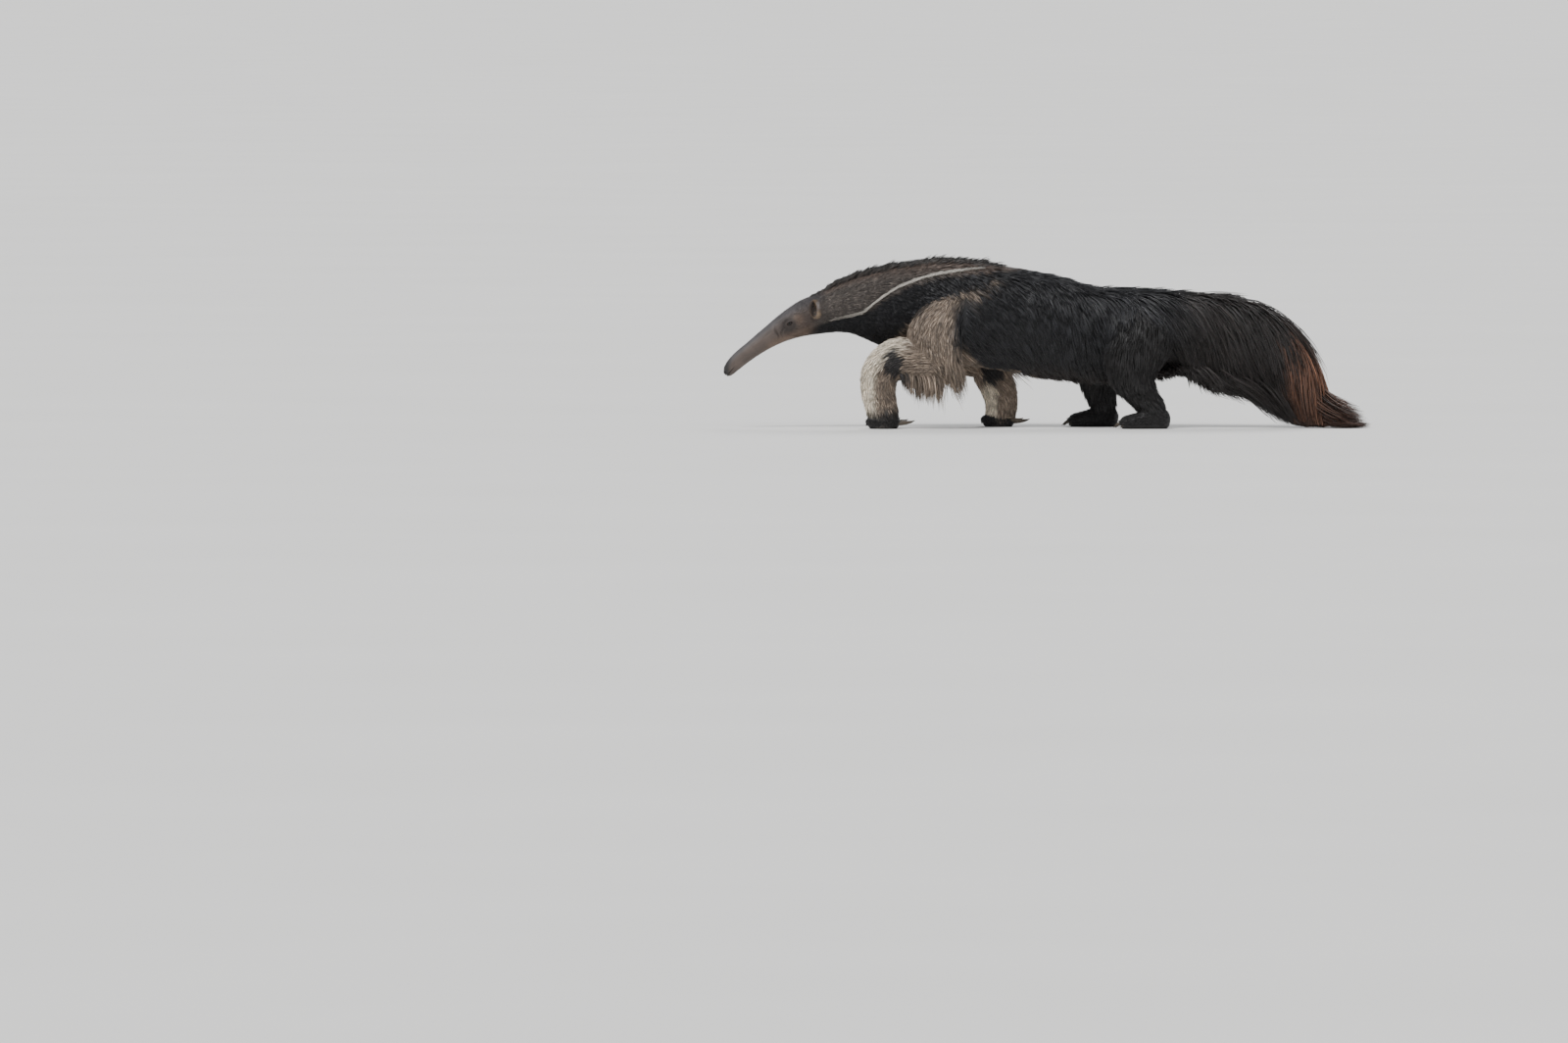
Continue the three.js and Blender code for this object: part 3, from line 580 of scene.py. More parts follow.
def arm_markings(part, points, t, angle):
    """Colours of a foreleg: creamy in front, a black patch on the side, dark above the claws."""
    x, _, z = points.T
    wander = drifting(points, 34, 9)
    grey = filled("arm", len(t)) * (1 + 0.16 * wander)[:, None]
    if part.startswith("upper_arm"):
        return mixed(filled("black", len(t)), grey, shoulder_share(points))
    turn = np.degrees(np.abs(angle))
    front = smoothstep(94, 122, turn + 9 * wander) * smoothstep(0.26, 0.38, t)
    colour = mixed(grey, COLOURS["cream"], front)
    middle_x, middle_z = ARM_PATCH[part]
    off = np.hypot((x - middle_x) / 33, (z - middle_z) / 46) + 0.16 * wander
    patch = smoothstep(1.2, 0.75, off) * smoothstep(150, 122, turn)
    colour = mixed(colour, COLOURS["black"], patch * 0.95)
    return mixed(colour, COLOURS["black"], smoothstep(0.72, 0.85, t + 0.03 * wander) * 0.92)


def markings(part, points, t, angle):
    """Colours at points of one part's surface."""
    if part == "body":
        return body_markings(points, angle)
    if "arm" in part:
        return arm_markings(part, points, t, angle)
    return filled("leg", len(t))


def skin_markings(points):
    """Colours of the skin, from the part that each point belongs to."""
    colour = np.zeros((len(points), 3))
    least = np.full(len(points), np.inf)
    for part, tube in TUBES.items():
        t, angle, share, size = tube.coordinates(points)
        off = np.abs(share - 1) * size
        nearer = off < least
        colour[nearer] = markings(part, points[nearer], t[nearer], angle[nearer])
        least[nearer] = off[nearer]
    return mixed(colour, COLOURS["white"], line_share(points))


# Shallow folds of the face: x and z of a few points, then depth and half width.
FACE_FOLDS = [
    ([(-748, 303), (-746, 291), (-739, 279), (-732, 266)], 2.1, 3.5),
    ([(-715, 302), (-724, 294), (-728, 283), (-722, 271)], 1.4, 2.8),
    ([(-760, 290), (-770, 281), (-784, 268)], 0.6, 2.8),
    ([(-722, 326), (-741, 316), (-762, 303)], 0.8, 2.3),
    ([(-716, 287), (-699, 278), (-676, 280), (-662, 288)], 1.1, 2.4),
    ([(-684, 299), (-672, 297), (-658, 304)], 0.9, 2.1),
    ([(-700, 339), (-680, 344), (-662, 338)], 0.8, 2.3),
    ([(-780, 281), (-800, 263), (-822, 242)], 0.4, 3.0),
]
EYE_SLOPE = math.radians(27)
# Half the eye's opening and half of the first wrinkle round it, each along and across the slope.
EYE_OPENING = (8.8, 4.5)
FIRST_WRINKLE = (11.5, 9.2)
MOUTH_BELOW = 6.0
MOUTH_LENGTH = 44.0
SNOUT_END_LENGTH = 56
NOSTRIL = (-898.0, 9.0, 166.0)


def fold_depths(x, z):
    """How far the face's folds pull the skin in."""
    total = np.zeros(len(x))
    for line, depth, half_width in FACE_FOLDS:
        path = spline(np.array(line, float), np.linspace(0, 1, 40))
        gap = np.hypot(x[:, None] - path[None, :, 0], z[:, None] - path[None, :, 1])
        nearest = gap.min(1)
        ends = np.sin(np.clip(gap.argmin(1) / 39, 0.06, 0.94) * math.pi)
        valley = np.exp(-((nearest / half_width) ** 2))
        ridge = np.exp(-(((nearest - 2.1 * half_width) / half_width) ** 2))
        total += depth * ends * (valley - 0.45 * ridge)
    return total


def ear_ring(points):
    """Where points lie within an ear's oval, seen from the side: 1 on its rim."""
    x, _, z = points.T
    return np.hypot((x - EAR_AT[0]) / EAR_RIM[0], (z - EAR_AT[2]) / (EAR_RIM[1] * 0.95))


def shape_face(points, normals):
    """The head's points with lids, folds, ears, mouth and nostrils pressed in, and how bright each one is
    once painted shade darkens its folds, wrinkles, mouth slit and nostrils.
    """
    x, y, z = points.T
    hand = np.where(y < 0, -1.0, 1.0)
    side = np.abs(y)
    mirrored = np.stack([x, side, z], 1)
    facing = np.clip(np.abs(normals[:, 1]) * 1.4 - 0.25, 0, 1)
    inward = fold_depths(x, z) * facing
    # Painted shade: the skin is darker where the folds pull it in.
    dark = 0.17 * np.clip(inward, 0, None)

    # A hollow behind each ear's opening.
    hollow = 18 * smoothstep(0.98, 0.7, ear_ring(points)) * smoothstep(12, 26, side)
    points = points - normals * inward[:, None]
    points[:, 1] -= hand * hollow

    # Lids: a rim over the eyeball round an almond opening, then rings of fine wrinkles.
    dx = x - EYE_AT[0]
    dz = z - EYE_AT[2]
    along = dx * math.cos(EYE_SLOPE) + dz * math.sin(EYE_SLOPE)
    across = dz * math.cos(EYE_SLOPE) - dx * math.sin(EYE_SLOPE)
    ring = np.hypot(along / EYE_OPENING[0], across / EYE_OPENING[1])
    ball = EYE_AT[1] + np.sqrt(np.maximum(EYE_RADIUS**2 - along**2 - across**2, 0))
    near = (ring < 5) & (side > 15)
    rim = np.maximum(ball + 1.6, side + 0.4)
    target = side + (rim - side) * smoothstep(2.3, 1.25, ring)
    target = np.where(ring < 1, np.minimum(side, ball - 3.5), target)
    outer = np.hypot(along / FIRST_WRINKLE[0], across / FIRST_WRINKLE[1]) + 0.1 * drifting(mirrored, 17, 12)
    height = np.sin(np.arctan2(across, along) - 0.35)
    brow = 0.2 + 0.8 * smoothstep(-0.2, 0.7, height) + 0.45 * smoothstep(-0.35, -0.9, height)
    wrinkle = np.cos((outer - 1.12) * 2 * math.pi / 0.4) * np.exp(-(((outer - 1.55) / 0.5) ** 2))
    wrinkle = np.where(ring > 1.35, wrinkle * brow, 0)
    points[near, 1] += (hand * (target + wrinkle - side))[near]
    # Painted shade in the valleys of the wrinkles round the eye.
    dark = dark + np.where(near, 0.42 * np.clip(-wrinkle, 0, None), 0)

    # Mouth: a slit round the snout's end under its middle, between two soft lips, with painted shade in the
    # slit.
    t = TUBES["body"].nearest(points)
    centre, _, _, up, _ = TUBES["body"].frame(t)
    height = dot(points - centre, up)
    from_tip = t / station("snoutEnd") * SNOUT_END_LENGTH
    slit = np.exp(-(((height + MOUTH_BELOW) / 1.2) ** 2))
    lips = np.exp(-(((np.abs(height + MOUTH_BELOW) - 3.2) / 2.0) ** 2))
    reach = smoothstep(MOUTH_LENGTH + 6, MOUTH_LENGTH - 8, from_tip)
    points = points - normals * ((2.2 * slit - 0.7 * lips) * reach)[:, None]
    dark = dark + 0.6 * slit * reach

    # Nostrils: two pits with a soft rim, with painted shade in the pits.
    nostril = np.array(NOSTRIL) * np.stack([np.ones(len(x)), hand, np.ones(len(x))], 1)
    away = np.linalg.norm((points - nostril) * np.array([0.7, 1.0, 1.1]), axis=1)
    pit = np.exp(-((away / 3.4) ** 2)) - 0.25 * np.exp(-(((away - 6.0) / 2.2) ** 2))
    dark = dark + np.clip(pit, 0, 1)
    return points - normals * (4.4 * pit)[:, None], 1 - np.clip(dark, 0, 0.85)


def toe_tubes():
    """Short toes of the hind feet, which carry the claws."""
    tubes = []
    for hand in HANDS.values():
        ankle = HIND_ANKLES[hand]
        for claw in HIND_CLAWS:
            x = ankle - HIND_KNUCKLES + claw["back"]
            y = hand * (HIND_ANKLE_SPREAD - claw["inward"])
            tubes.append(Tube([
                (x + 46, y, 22, 15, 15, 9),
                (x + 24, y, 21, 17, 16, 10.5),
                (x + 8, y, 17, 14, 14, 9),
                (x - 2, y, 14, 8, 9, 6),
            ]))
    return tubes


SKIN_STEP = 8
SKIN_SIDES = 32
SKIN_SMOOTHING = 6


def merged_skin(voxel):
    """All tubes as one closed, smoothed mesh, in metres."""
    vertices = []
    triangles = []
    start = 0
    for tube in [*TUBES.values(), *toe_tubes()]:
        steps = max(8, int(tube.length / SKIN_STEP))
        points, faces = tube.mesh(steps, SKIN_SIDES)
        vertices.append(points)
        triangles.append(faces + start)
        start += len(points)
    mesh = bpy.data.meshes.new("skin_rough")
    corners = [tuple(v) for v in place(np.vstack(vertices))]
    mesh.from_pydata(corners, [], [tuple(int(i) for i in f) for f in np.vstack(triangles)])
    rough = bpy.data.objects.new("skin_rough", mesh)
    bpy.context.scene.collection.objects.link(rough)
    remesh = rough.modifiers.new("remesh", "REMESH")
    remesh.mode = "VOXEL"
    remesh.voxel_size = voxel
    smooth = rough.modifiers.new("smooth", "SMOOTH")
    smooth.factor = 0.5
    smooth.iterations = SKIN_SMOOTHING
    depsgraph = bpy.context.evaluated_depsgraph_get()
    mesh = bpy.data.meshes.new_from_object(rough.evaluated_get(depsgraph))
    bpy.data.objects.remove(rough)
    return mesh


def refine(mesh, test):
    """Divides the faces of a mesh that pass a test."""
    work = bmesh.new()
    work.from_mesh(mesh)
    centres = unplace(np.array([face.calc_center_median() for face in work.faces]))
    chosen = test(centres)
    edges = {edge for face, yes in zip(work.faces, chosen) if yes for edge in face.edges}
    bmesh.ops.subdivide_edges(work, edges=list(edges), cuts=1, use_grid_fill=True, smooth=0.6)
    bmesh.ops.triangulate(work, faces=[face for face in work.faces if len(face.verts) > 4])
    work.to_mesh(mesh)
    work.free()


def triangulate(mesh):
    """Divides every face of a mesh into triangles, and gives their corners."""
    work = bmesh.new()
    work.from_mesh(mesh)
    bmesh.ops.triangulate(work, faces=work.faces)
    work.to_mesh(mesh)
    work.free()
    corners = np.empty(len(mesh.polygons) * 3, np.int32)
    mesh.loops.foreach_get("vertex_index", corners)
    return corners.reshape(-1, 3)


def mesh_arrays(mesh):
    """Vertices in millimetres and normals of a mesh."""
    co = np.empty(len(mesh.vertices) * 3, np.float32)
    mesh.vertices.foreach_get("co", co)
    normals = np.empty(len(mesh.vertices) * 3, np.float32)
    mesh.vertices.foreach_get("normal", normals)
    return unplace(co.reshape(-1, 3).astype(float)), normals.reshape(-1, 3).astype(float)


def ear_surface(hand):
    """One ear as a thin oval cup: vertices, triangles and colours, with painted shade deepening towards the
    bottom of the cup.
    """
    opening = normalised(np.array([-0.16, hand * 0.87, 0.32]))
    upright = np.array([-0.12, hand * -0.3, 0.95])
    upright = normalised(upright - opening * dot(upright, opening))
    forward = np.cross(upright, opening)
    angle = np.arange(EAR_SIDES) / EAR_SIDES * 2 * math.pi
    vertices = []
    colours = []
    for layer, shell in enumerate((0.0, -EAR_WALL)):
        for ring in range(1, EAR_RINGS + 1):
            share = (ring - 0.93) / (EAR_RINGS - 0.93)
            radius = np.sin(share * math.pi / 2)
            back = -EAR_DEPTH * np.cos(share * math.pi / 2) + (shell * (1.1 - share))
            narrow = 1 - 0.12 * np.cos(angle)
            flat = forward * (np.sin(angle) * EAR_RIM[0] * radius * narrow)[:, None]
            tall = upright * (np.cos(angle) * EAR_RIM[1] * radius)[:, None]
            swell = 0 if layer == 0 else EAR_WALL * 0.7 * (1 - 0.5 * share)
            points = EAR_AT * np.array([1, hand, 1]) + flat + tall + opening * back
            points = points + normalised(flat + tall + 1e-6) * swell
            vertices.append(points)
            inside = COLOURS["ear"] if layer == 0 else COLOURS["neck"] * 1.3
            # Painted shade: the inside of the cup darkens towards its bottom.
            tone = inside * (0.35 + 0.65 * share**2) if layer == 0 else inside
            colours.append(np.repeat(tone[None], EAR_SIDES, 0))
    vertices = np.vstack(vertices)
    count = EAR_RINGS * EAR_SIDES
    centres = [vertices[:EAR_SIDES].mean(0), vertices[count:count + EAR_SIDES].mean(0)]
    vertices = np.vstack([vertices, centres])
    triangles = [face[::-1] for face in between_rings(EAR_RINGS, EAR_SIDES)]
    triangles += between_rings(EAR_RINGS, EAR_SIDES, count)
    for k in range(EAR_SIDES):
        following = (k + 1) % EAR_SIDES
        a = count - EAR_SIDES + k
        b = count - EAR_SIDES + following
        triangles += [(a, b + count, b), (a, a + count, b + count)]
        triangles += [(2 * count, following, k), (2 * count + 1, count + k, count + following)]
    # Painted shade: the middle of the cup's bottom is darkest.
    colours = np.vstack([*colours, [COLOURS["ear"] * 0.35, COLOURS["neck"]]])
    triangles = np.array(triangles)
    return vertices, triangles if hand > 0 else triangles[:, ::-1], colours


class Strands:
    """Tufts as thin three-sided tapered solids along paths, gathered into one piece."""

    def __init__(self, name, slot):
        self.name = name
        self.slot = slot
        self.vertices = []
        self.triangles = []
        self.colours = []
        self.spots = []
        self.fibres = []
        self.start = 0

    def add(self, paths, outs, widths, colours, tips, spots):
        """Adds tufts along paths, each with the way out at its rings, a width, two colours and a UV spot."""
        count, rings, _ = paths.shape
        share = np.linspace(0, 1, rings)
        shape = np.interp(share, [0, 0.3, 0.7, 1], [0.7, 1, 0.72, 0.0])
        along = np.gradient(paths, axis=1)
        side = normalised(np.cross(along, outs))
        up = normalised(np.cross(side, along))
        wide = (widths[:, None] * shape[None])[..., None] * 0.5
        base = paths[:, :-1]
        left = base - side[:, :-1] * wide[:, :-1] - up[:, :-1] * wide[:, :-1] * 0.25
        right = base + side[:, :-1] * wide[:, :-1] - up[:, :-1] * wide[:, :-1] * 0.25
        ridge = base + up[:, :-1] * wide[:, :-1] * 0.55
        body = np.stack([left, right, ridge], 2).reshape(count, -1, 3)
        vertices = np.concatenate([body, paths[:, -1:]], 1)
        per = vertices.shape[1]
        pattern = [(0, 1, 2)]
        for ring in range(rings - 2):
            for k in range(3):
                a = ring * 3 + k
                b = ring * 3 + (k + 1) % 3
                pattern += [(a, a + 3, b), (b, a + 3, b + 3)]
        last = (rings - 2) * 3
        pattern += [(last + k, per - 1, last + (k + 1) % 3) for k in range(3)]
        pattern = np.array(pattern)[:, ::-1]
        triangles = pattern[None] + (np.arange(count) * per)[:, None, None] + self.start
        ring_share = np.append(np.repeat(share[:-1], 3), 1.0)
        tone = colours[:, None] + (tips - colours)[:, None] * ring_share[None, :, None]
        across = np.append(np.tile([0.0, 1.0, 0.5], rings - 1), 0.5)
        grid = np.stack([across, ring_share], 1) * PATCH
        first = (np.arange(count) * 7.31 + self.start * 0.37) % 499
        fibres = np.stack(np.broadcast_arrays(across * 5 + first[:, None], ring_share[None] * 1.4, 0.0), -1)
        self.fibres.append(fibres.reshape(-1, 3))
        self.vertices.append(vertices.reshape(-1, 3))
        self.triangles.append(triangles.reshape(-1, 3))
        self.colours.append(tone.reshape(-1, 3))
        self.spots.append((spots[:, None] + grid[None]).reshape(-1, 2))
        self.start += count * per

    def build(self, material):
        """The finished piece, with its colours and its unwrap of one patch for each tuft."""
        vertices = np.vstack(self.vertices)
        triangles = np.vstack(self.triangles)
        vertices[:, 2] = np.maximum(vertices[:, 2], FLOOR_CLEARANCE)
        low, high = SIDE_LIMITS
        beyond = np.maximum(vertices[:, 1] - high, 0) + np.minimum(vertices[:, 1] - low, 0)
        vertices[:, 1] -= SIDE_PRESS * beyond
        thing = make_object(self.name, vertices, triangles)
        paint(thing.data, np.vstack(self.colours))
        fibres = thing.data.attributes.new(name="fibre_place", type="FLOAT_VECTOR", domain="POINT")
        fibres.data.foreach_set("vector", np.vstack(self.fibres).astype(np.float32).ravel())
        layer = thing.data.uv_layers.new(name="OFBake")
        spots = np.clip(np.vstack(self.spots), 0, 1)
        layer.data.foreach_set("uv", spots[triangles.ravel()].astype(np.float32).ravel())
        thing.data.materials.append(material)
        return thing


PATCH = 0.003
FLOOR_CLEARANCE = 0.8
ROOT_SINK = 2.5


def scattered(tube, rng, count, t_range, angles, hands, density=None):
    """Random t and angle spread evenly over a part of a tube's surface."""
    found_t = []
    found_angle = []
    total = 0
    while total < count:
        t = rng.uniform(*t_range, count * 3)
        angle = np.radians(rng.uniform(*angles, count * 3)) * rng.choice(hands, count * 3)
        step = 0.004
        here = tube.point(t, angle)
        across = tube.point(t, angle + step) - here
        along = tube.point(np.minimum(t + step, 1), angle) - here
        area = np.linalg.norm(np.cross(across, along), axis=1)
        if density is not None:
            area = area * density(t, angle)
        keep = rng.uniform(0, 1, len(t)) < area / np.quantile(area, 0.995)
        found_t.append(t[keep])
        found_angle.append(angle[keep])
        total += keep.sum()
    return np.concatenate(found_t)[:count], np.concatenate(found_angle)[:count]


def clear_of(points, part, margin=0.94):
    """Which points lie outside all parts but their own."""
    clear = np.ones(len(points), bool)
    for name, tube in TUBES.items():
        if name == part:
            continue
        _, _, share, _ = tube.coordinates(points)
        clear &= share > margin
    return clear


def drifting(points, scale, seed):
    """A smooth wandering value from -1 to 1 over space, which keeps neighbouring tufts alike."""
    rng = np.random.default_rng(seed)
    total = np.zeros(len(points))
    for _ in range(6):
        way = rng.normal(size=3)
        way = way / np.linalg.norm(way) * rng.uniform(0.6, 1.6) * 2 * math.pi / scale
        total += np.sin(points @ way + rng.uniform(0, 2 * math.pi))
    return total / 3.2


def between(values, share):
    """Values spread evenly along a row, at shares of it."""
    return np.interp(share, np.linspace(0, 1, len(values)), values)


def coat(strands, part, rng, count, t_range, length, width, rise, heading, angles=(0, 180), hands=(-1, 1),
         weight=0.1, cling=0.6, rings=4, clump=0.0, guides=12, region=(0, 1, 0, 1), rough=6.0, highlight_share=0.25,
         tip=1.15, density=None, seed=1, contrast=0.22, over=(), level=(1.0, 2.0), uneven=0.13):
    """Covers part of a tube with tufts that lie along it, sink under their weight and gather into locks."""
    tube = TUBES[part]
    t, angle = scattered(tube, rng, count, t_range, angles, hands, density)
    root = tube.point(t, angle)
    keep = clear_of(root, part)
    t, angle, root = t[keep], angle[keep], root[keep]
    count = len(t)
    share = (t - t_range[0]) / (t_range[1] - t_range[0])
    _, along, _, _, _ = tube.frame(t)
    around = tube.around(t, angle)
    turn = between(heading, share)
    if part == "body":
        turn = turn * smoothstep(4, 46, np.degrees(np.abs(angle)))
    turn = np.radians(turn + rng.normal(0, rough, count) + rough * 1.2 * drifting(root, 90, seed))
    way = along * np.cos(turn)[:, None] + around * np.sin(turn)[:, None]
    reach = between(length, share) * (1 + rng.normal(0, uneven, count))
    reach = np.clip(reach * (1 + 0.12 * drifting(root, 60, seed + 1)), 2, None)
    top = between(rise, share) * rng.uniform(0.35, 1.15, count)
    down = np.array([0.0, 0.0, -1.0])
    lowest = rng.uniform(*level, count)
    paths = [tube.point(t, angle, -ROOT_SINK)]
    outs = [tube.lifted(root, np.zeros(count), 0)[1]]
    for ring in range(1, rings):
        part_way = ring / (rings - 1)
        way = normalised(way * (1 - weight) + down * weight)
        point = paths[-1] + way * (reach / (rings - 1))[:, None]
        height = (ROOT_SINK + top) * part_way**0.7 - ROOT_SINK
        point, out = tube.lifted(point, height, cling)
        for other in over:
            lifted = TUBES[other].lifted(point, height * 0.6 + 1, 0)[0]
            point = np.where(TUBES[other].nearest(point)[:, None] > 0.1, lifted, point)
        point[:, 2] = np.maximum(point[:, 2], lowest)
        paths.append(point)
        outs.append(out)
    paths = np.stack(paths, 1)
    outs = np.stack(outs, 1)
    if clump > 0:
        leaders = rng.choice(count, max(count // guides, 1), replace=False)
        nearest = np.empty(count, int)
        for first in range(0, count, 4000):
            block = root[first:first + 4000]
            gap = (block**2).sum(1)[:, None] - 2 * block @ root[leaders].T + (root[leaders]**2).sum(1)[None]
            nearest[first:first + 4000] = leaders[gap.argmin(1)]
        pull = clump * np.linspace(0, 1, rings)[None, :, None] ** 1.3
        pull = pull * rng.uniform(0.5, 1.0, count)[:, None, None]
        paths = paths + (paths[nearest] - paths) * pull
    colour = markings(part, root, t, angle)
    tone = np.exp(rng.normal(0, contrast, count)) * (1 + 0.12 * drifting(root, 45, seed + 2))
    # Painted highlights: a share of tufts made paler at random.
    pale = rng.uniform(0, 1, count) < highlight_share * 0.35
    tone = tone * np.where(pale, 1.5, 1.0)
    colour = colour * tone[:, None]
    tips = colour * (tip * rng.uniform(0.85, 1.2, count))[:, None]
    low_u, high_u, low_v, high_v = region
    spot_u = low_u + (high_u - low_u) * share
    spot_v = low_v + (high_v - low_v) * (angle / (2 * math.pi) + 0.5)
    spots = np.stack([spot_u, spot_v], 1) * (1 - 2 * PATCH) + PATCH / 2
    widths = width * rng.uniform(0.7, 1.25, count)
    strands.add(paths, outs, widths, colour, tips, spots)


def mane(strands, rng, settings):
    """The stiff crest from the nape to behind the shoulders."""
    tube = TUBES["body"]
    first = station("ears") + 0.012
    last = station("ribsFront")
    count = settings.mane_count
    share = rng.uniform(0, 1, count) ** 0.95
    t = first + share * (last - first)
    angle = np.radians(rng.normal(0, 6, count))
    root = tube.point(t, angle, -3.0)
    _, along, side, up, _ = tube.frame(t)
    lean = np.radians(between([30, 46, 50, 46, 30, 12], share) + rng.normal(0, 8, count))
    reach = between([14, 34, 48, 50, 52, 60], share) * settings.mane_length * rng.uniform(0.6, 1.15, count)
    spread = np.sin(angle) * 1.6 + rng.normal(0, 0.05, count)
    paths = [root]
    rings = 5
    for ring in range(1, rings):
        slope = lean * (1.25 - 0.6 * ring / (rings - 1))
        way = along * np.cos(slope)[:, None] + up * np.sin(slope)[:, None] + side * spread[:, None]
        paths.append(paths[-1] + normalised(way) * (reach / (rings - 1))[:, None])
    paths = np.stack(paths, 1)
    leaders = rng.choice(count, count // 16, replace=False)
    gap = np.abs(t[:, None] - t[leaders][None]) * tube.length
    gap = gap + np.abs(angle[:, None] - angle[leaders][None]) * 60
    nearest = leaders[gap.argmin(1)]
    pull = 0.42 * np.linspace(0, 1, rings)[None, :, None] ** 1.4
    paths = paths + (paths[nearest] - paths) * pull
    outs = np.repeat(normalised(side + up * 0.2)[:, None], rings, 1)
    greyness = rng.uniform(0, 0.5, count) * np.abs(angle) / 0.12
    dark = mixed(filled("mane", count), COLOURS["neck"], greyness)
    roots = dark * rng.uniform(0.7, 1.5, count)[:, None]
    spots = np.stack([share, angle / math.pi + 0.5], 1) * (1 - 2 * PATCH)
    strands.add(paths, outs, rng.uniform(2.0, 3.6, count), roots, roots * 0.8, spots)


def line_hair(strands, rng, hand):
    """Short pale hair laid end to end on the coat along the neck's white line."""
    tube = TUBES["body"]
    count = 1500
    rings = 4
    line = WHITE_CURVE[(WHITE_CURVE[:, 0] > -588) & (WHITE_CURVE[:, 0] < -112)]
    along_line = np.append(0, np.cumsum(np.linalg.norm(np.diff(line, axis=0), axis=1)))
    total = along_line[-1]
    start = rng.uniform(0, total, count)
    width = np.interp(start / total, [0, 0.12, 0.5, 0.85, 1], [0.8, 1.3, 1.7, 1.3, 0.7])
    offset = rng.normal(0, 1, count) * width
    fray = rng.normal(0, 1.3, count)
    length = rng.uniform(13, 21, count)
    paths = []
    outs = []
    for ring in range(rings):
        part_way = ring / (rings - 1)
        at = start + length * part_way
        x = np.interp(at, along_line, line[:, 0])
        z = np.interp(at, along_line, line[:, 1]) + offset + fray * part_way
        flat = np.stack([x, np.zeros(count), z], 1)
        t, _, _, _ = tube.coordinates(flat)
        centre, _, _, up, reach = tube.frame(t)
        above = np.clip(dot(flat - centre, up) / reach[:, 0], -0.99, 0.99)
        angle = np.arctan2(hand * np.sqrt(1 - above**2), above)
        grow = (-2.0, 8.5, 10.0, 10.5)[ring] * np.interp(x, [-590, -480], [0.5, 0.95])
        paths.append(tube.point(t, angle, 0) + normalised(tube.point(t, angle, 5) - centre) * grow[:, None])
        outs.append(normalised(tube.point(t, angle, 5) - centre))
    paths = np.stack(paths, 1)
    whiteness = np.interp(start / total, [0, 0.12, 0.3, 0.8, 1], [0.1, 0.35, 0.85, 1, 0.2])
    pale = mixed(filled("neck", count), COLOURS["white"], whiteness)
    pale = pale * rng.uniform(0.75, 1.1, count)[:, None]
    spots = np.stack([start / total, rng.uniform(0.1, 0.9, count)], 1) * (1 - 2 * PATCH)
    strands.add(paths, np.stack(outs, 1), rng.uniform(1.2, 2.0, count), pale, pale, spots)


# Hair of an ear: the cup's ring that it grows from, the number of tufts, and the least and greatest length.
EAR_HAIR = [(9, 640, 6, 15), (8, 340, 5, 11), (6, 320, 5, 10), (4, 260, 5, 9), (2, 120, 5, 8)]


def ear_hair(strands, rng, hand):
    """Hair on an ear: pale and long on its rear rim, short and dark inside the cup."""
    surface, _, _ = ear_surface(hand)
    outward = np.array([0, hand, 0.0])
    rings = 4
    middle = surface[(EAR_RINGS - 1) * EAR_SIDES:EAR_RINGS * EAR_SIDES].mean(0)
    for ring, count, low, high in EAR_HAIR:
        rim = surface[ring * EAR_SIDES:(ring + 1) * EAR_SIDES]
        at = rng.uniform(0, EAR_SIDES, count)
        first = np.floor(at).astype(int)
        before = rim[first % EAR_SIDES]
        root = before + (rim[(first + 1) % EAR_SIDES] - before) * (at - first)[:, None]
        radial = normalised(root - middle)
        rear = smoothstep(-0.35, 0.5, radial[:, 0])
        inside = ring < EAR_RINGS - 1
        lean = np.array([0.5, 0, 0.35]) if inside else np.array([0.62, 0, 0.12])
        way = radial * (0.1 if inside else 0.6) + outward * 0.42 + lean + rng.normal(0, 0.2, (count, 3))
        way = normalised(way)
        length = rng.uniform(low, high, count) * (0.55 + 0.75 * rear)
        paths = [root - way * 1.2]
        for _ in range(1, rings):
            way = normalised(way + np.array([0.14, -0.1 * hand, -0.1]))
            paths.append(paths[-1] + way * (length / (rings - 1))[:, None])
        outs = np.repeat((outward + radial * 0.2)[:, None], rings, 1)
        pale = (0.1 if inside else 0.25) + (0.3 if inside else 0.6) * rear * rng.uniform(0.2, 1, count)
        colour = mixed(filled("ear", count), COLOURS["ear_hair"], pale)
        spots = rng.uniform(0.02, 0.97, (count, 2))
        widths = rng.uniform(0.7, 1.2, count)
        strands.add(np.stack(paths, 1), normalised(outs), widths, colour, colour * 1.2, spots)


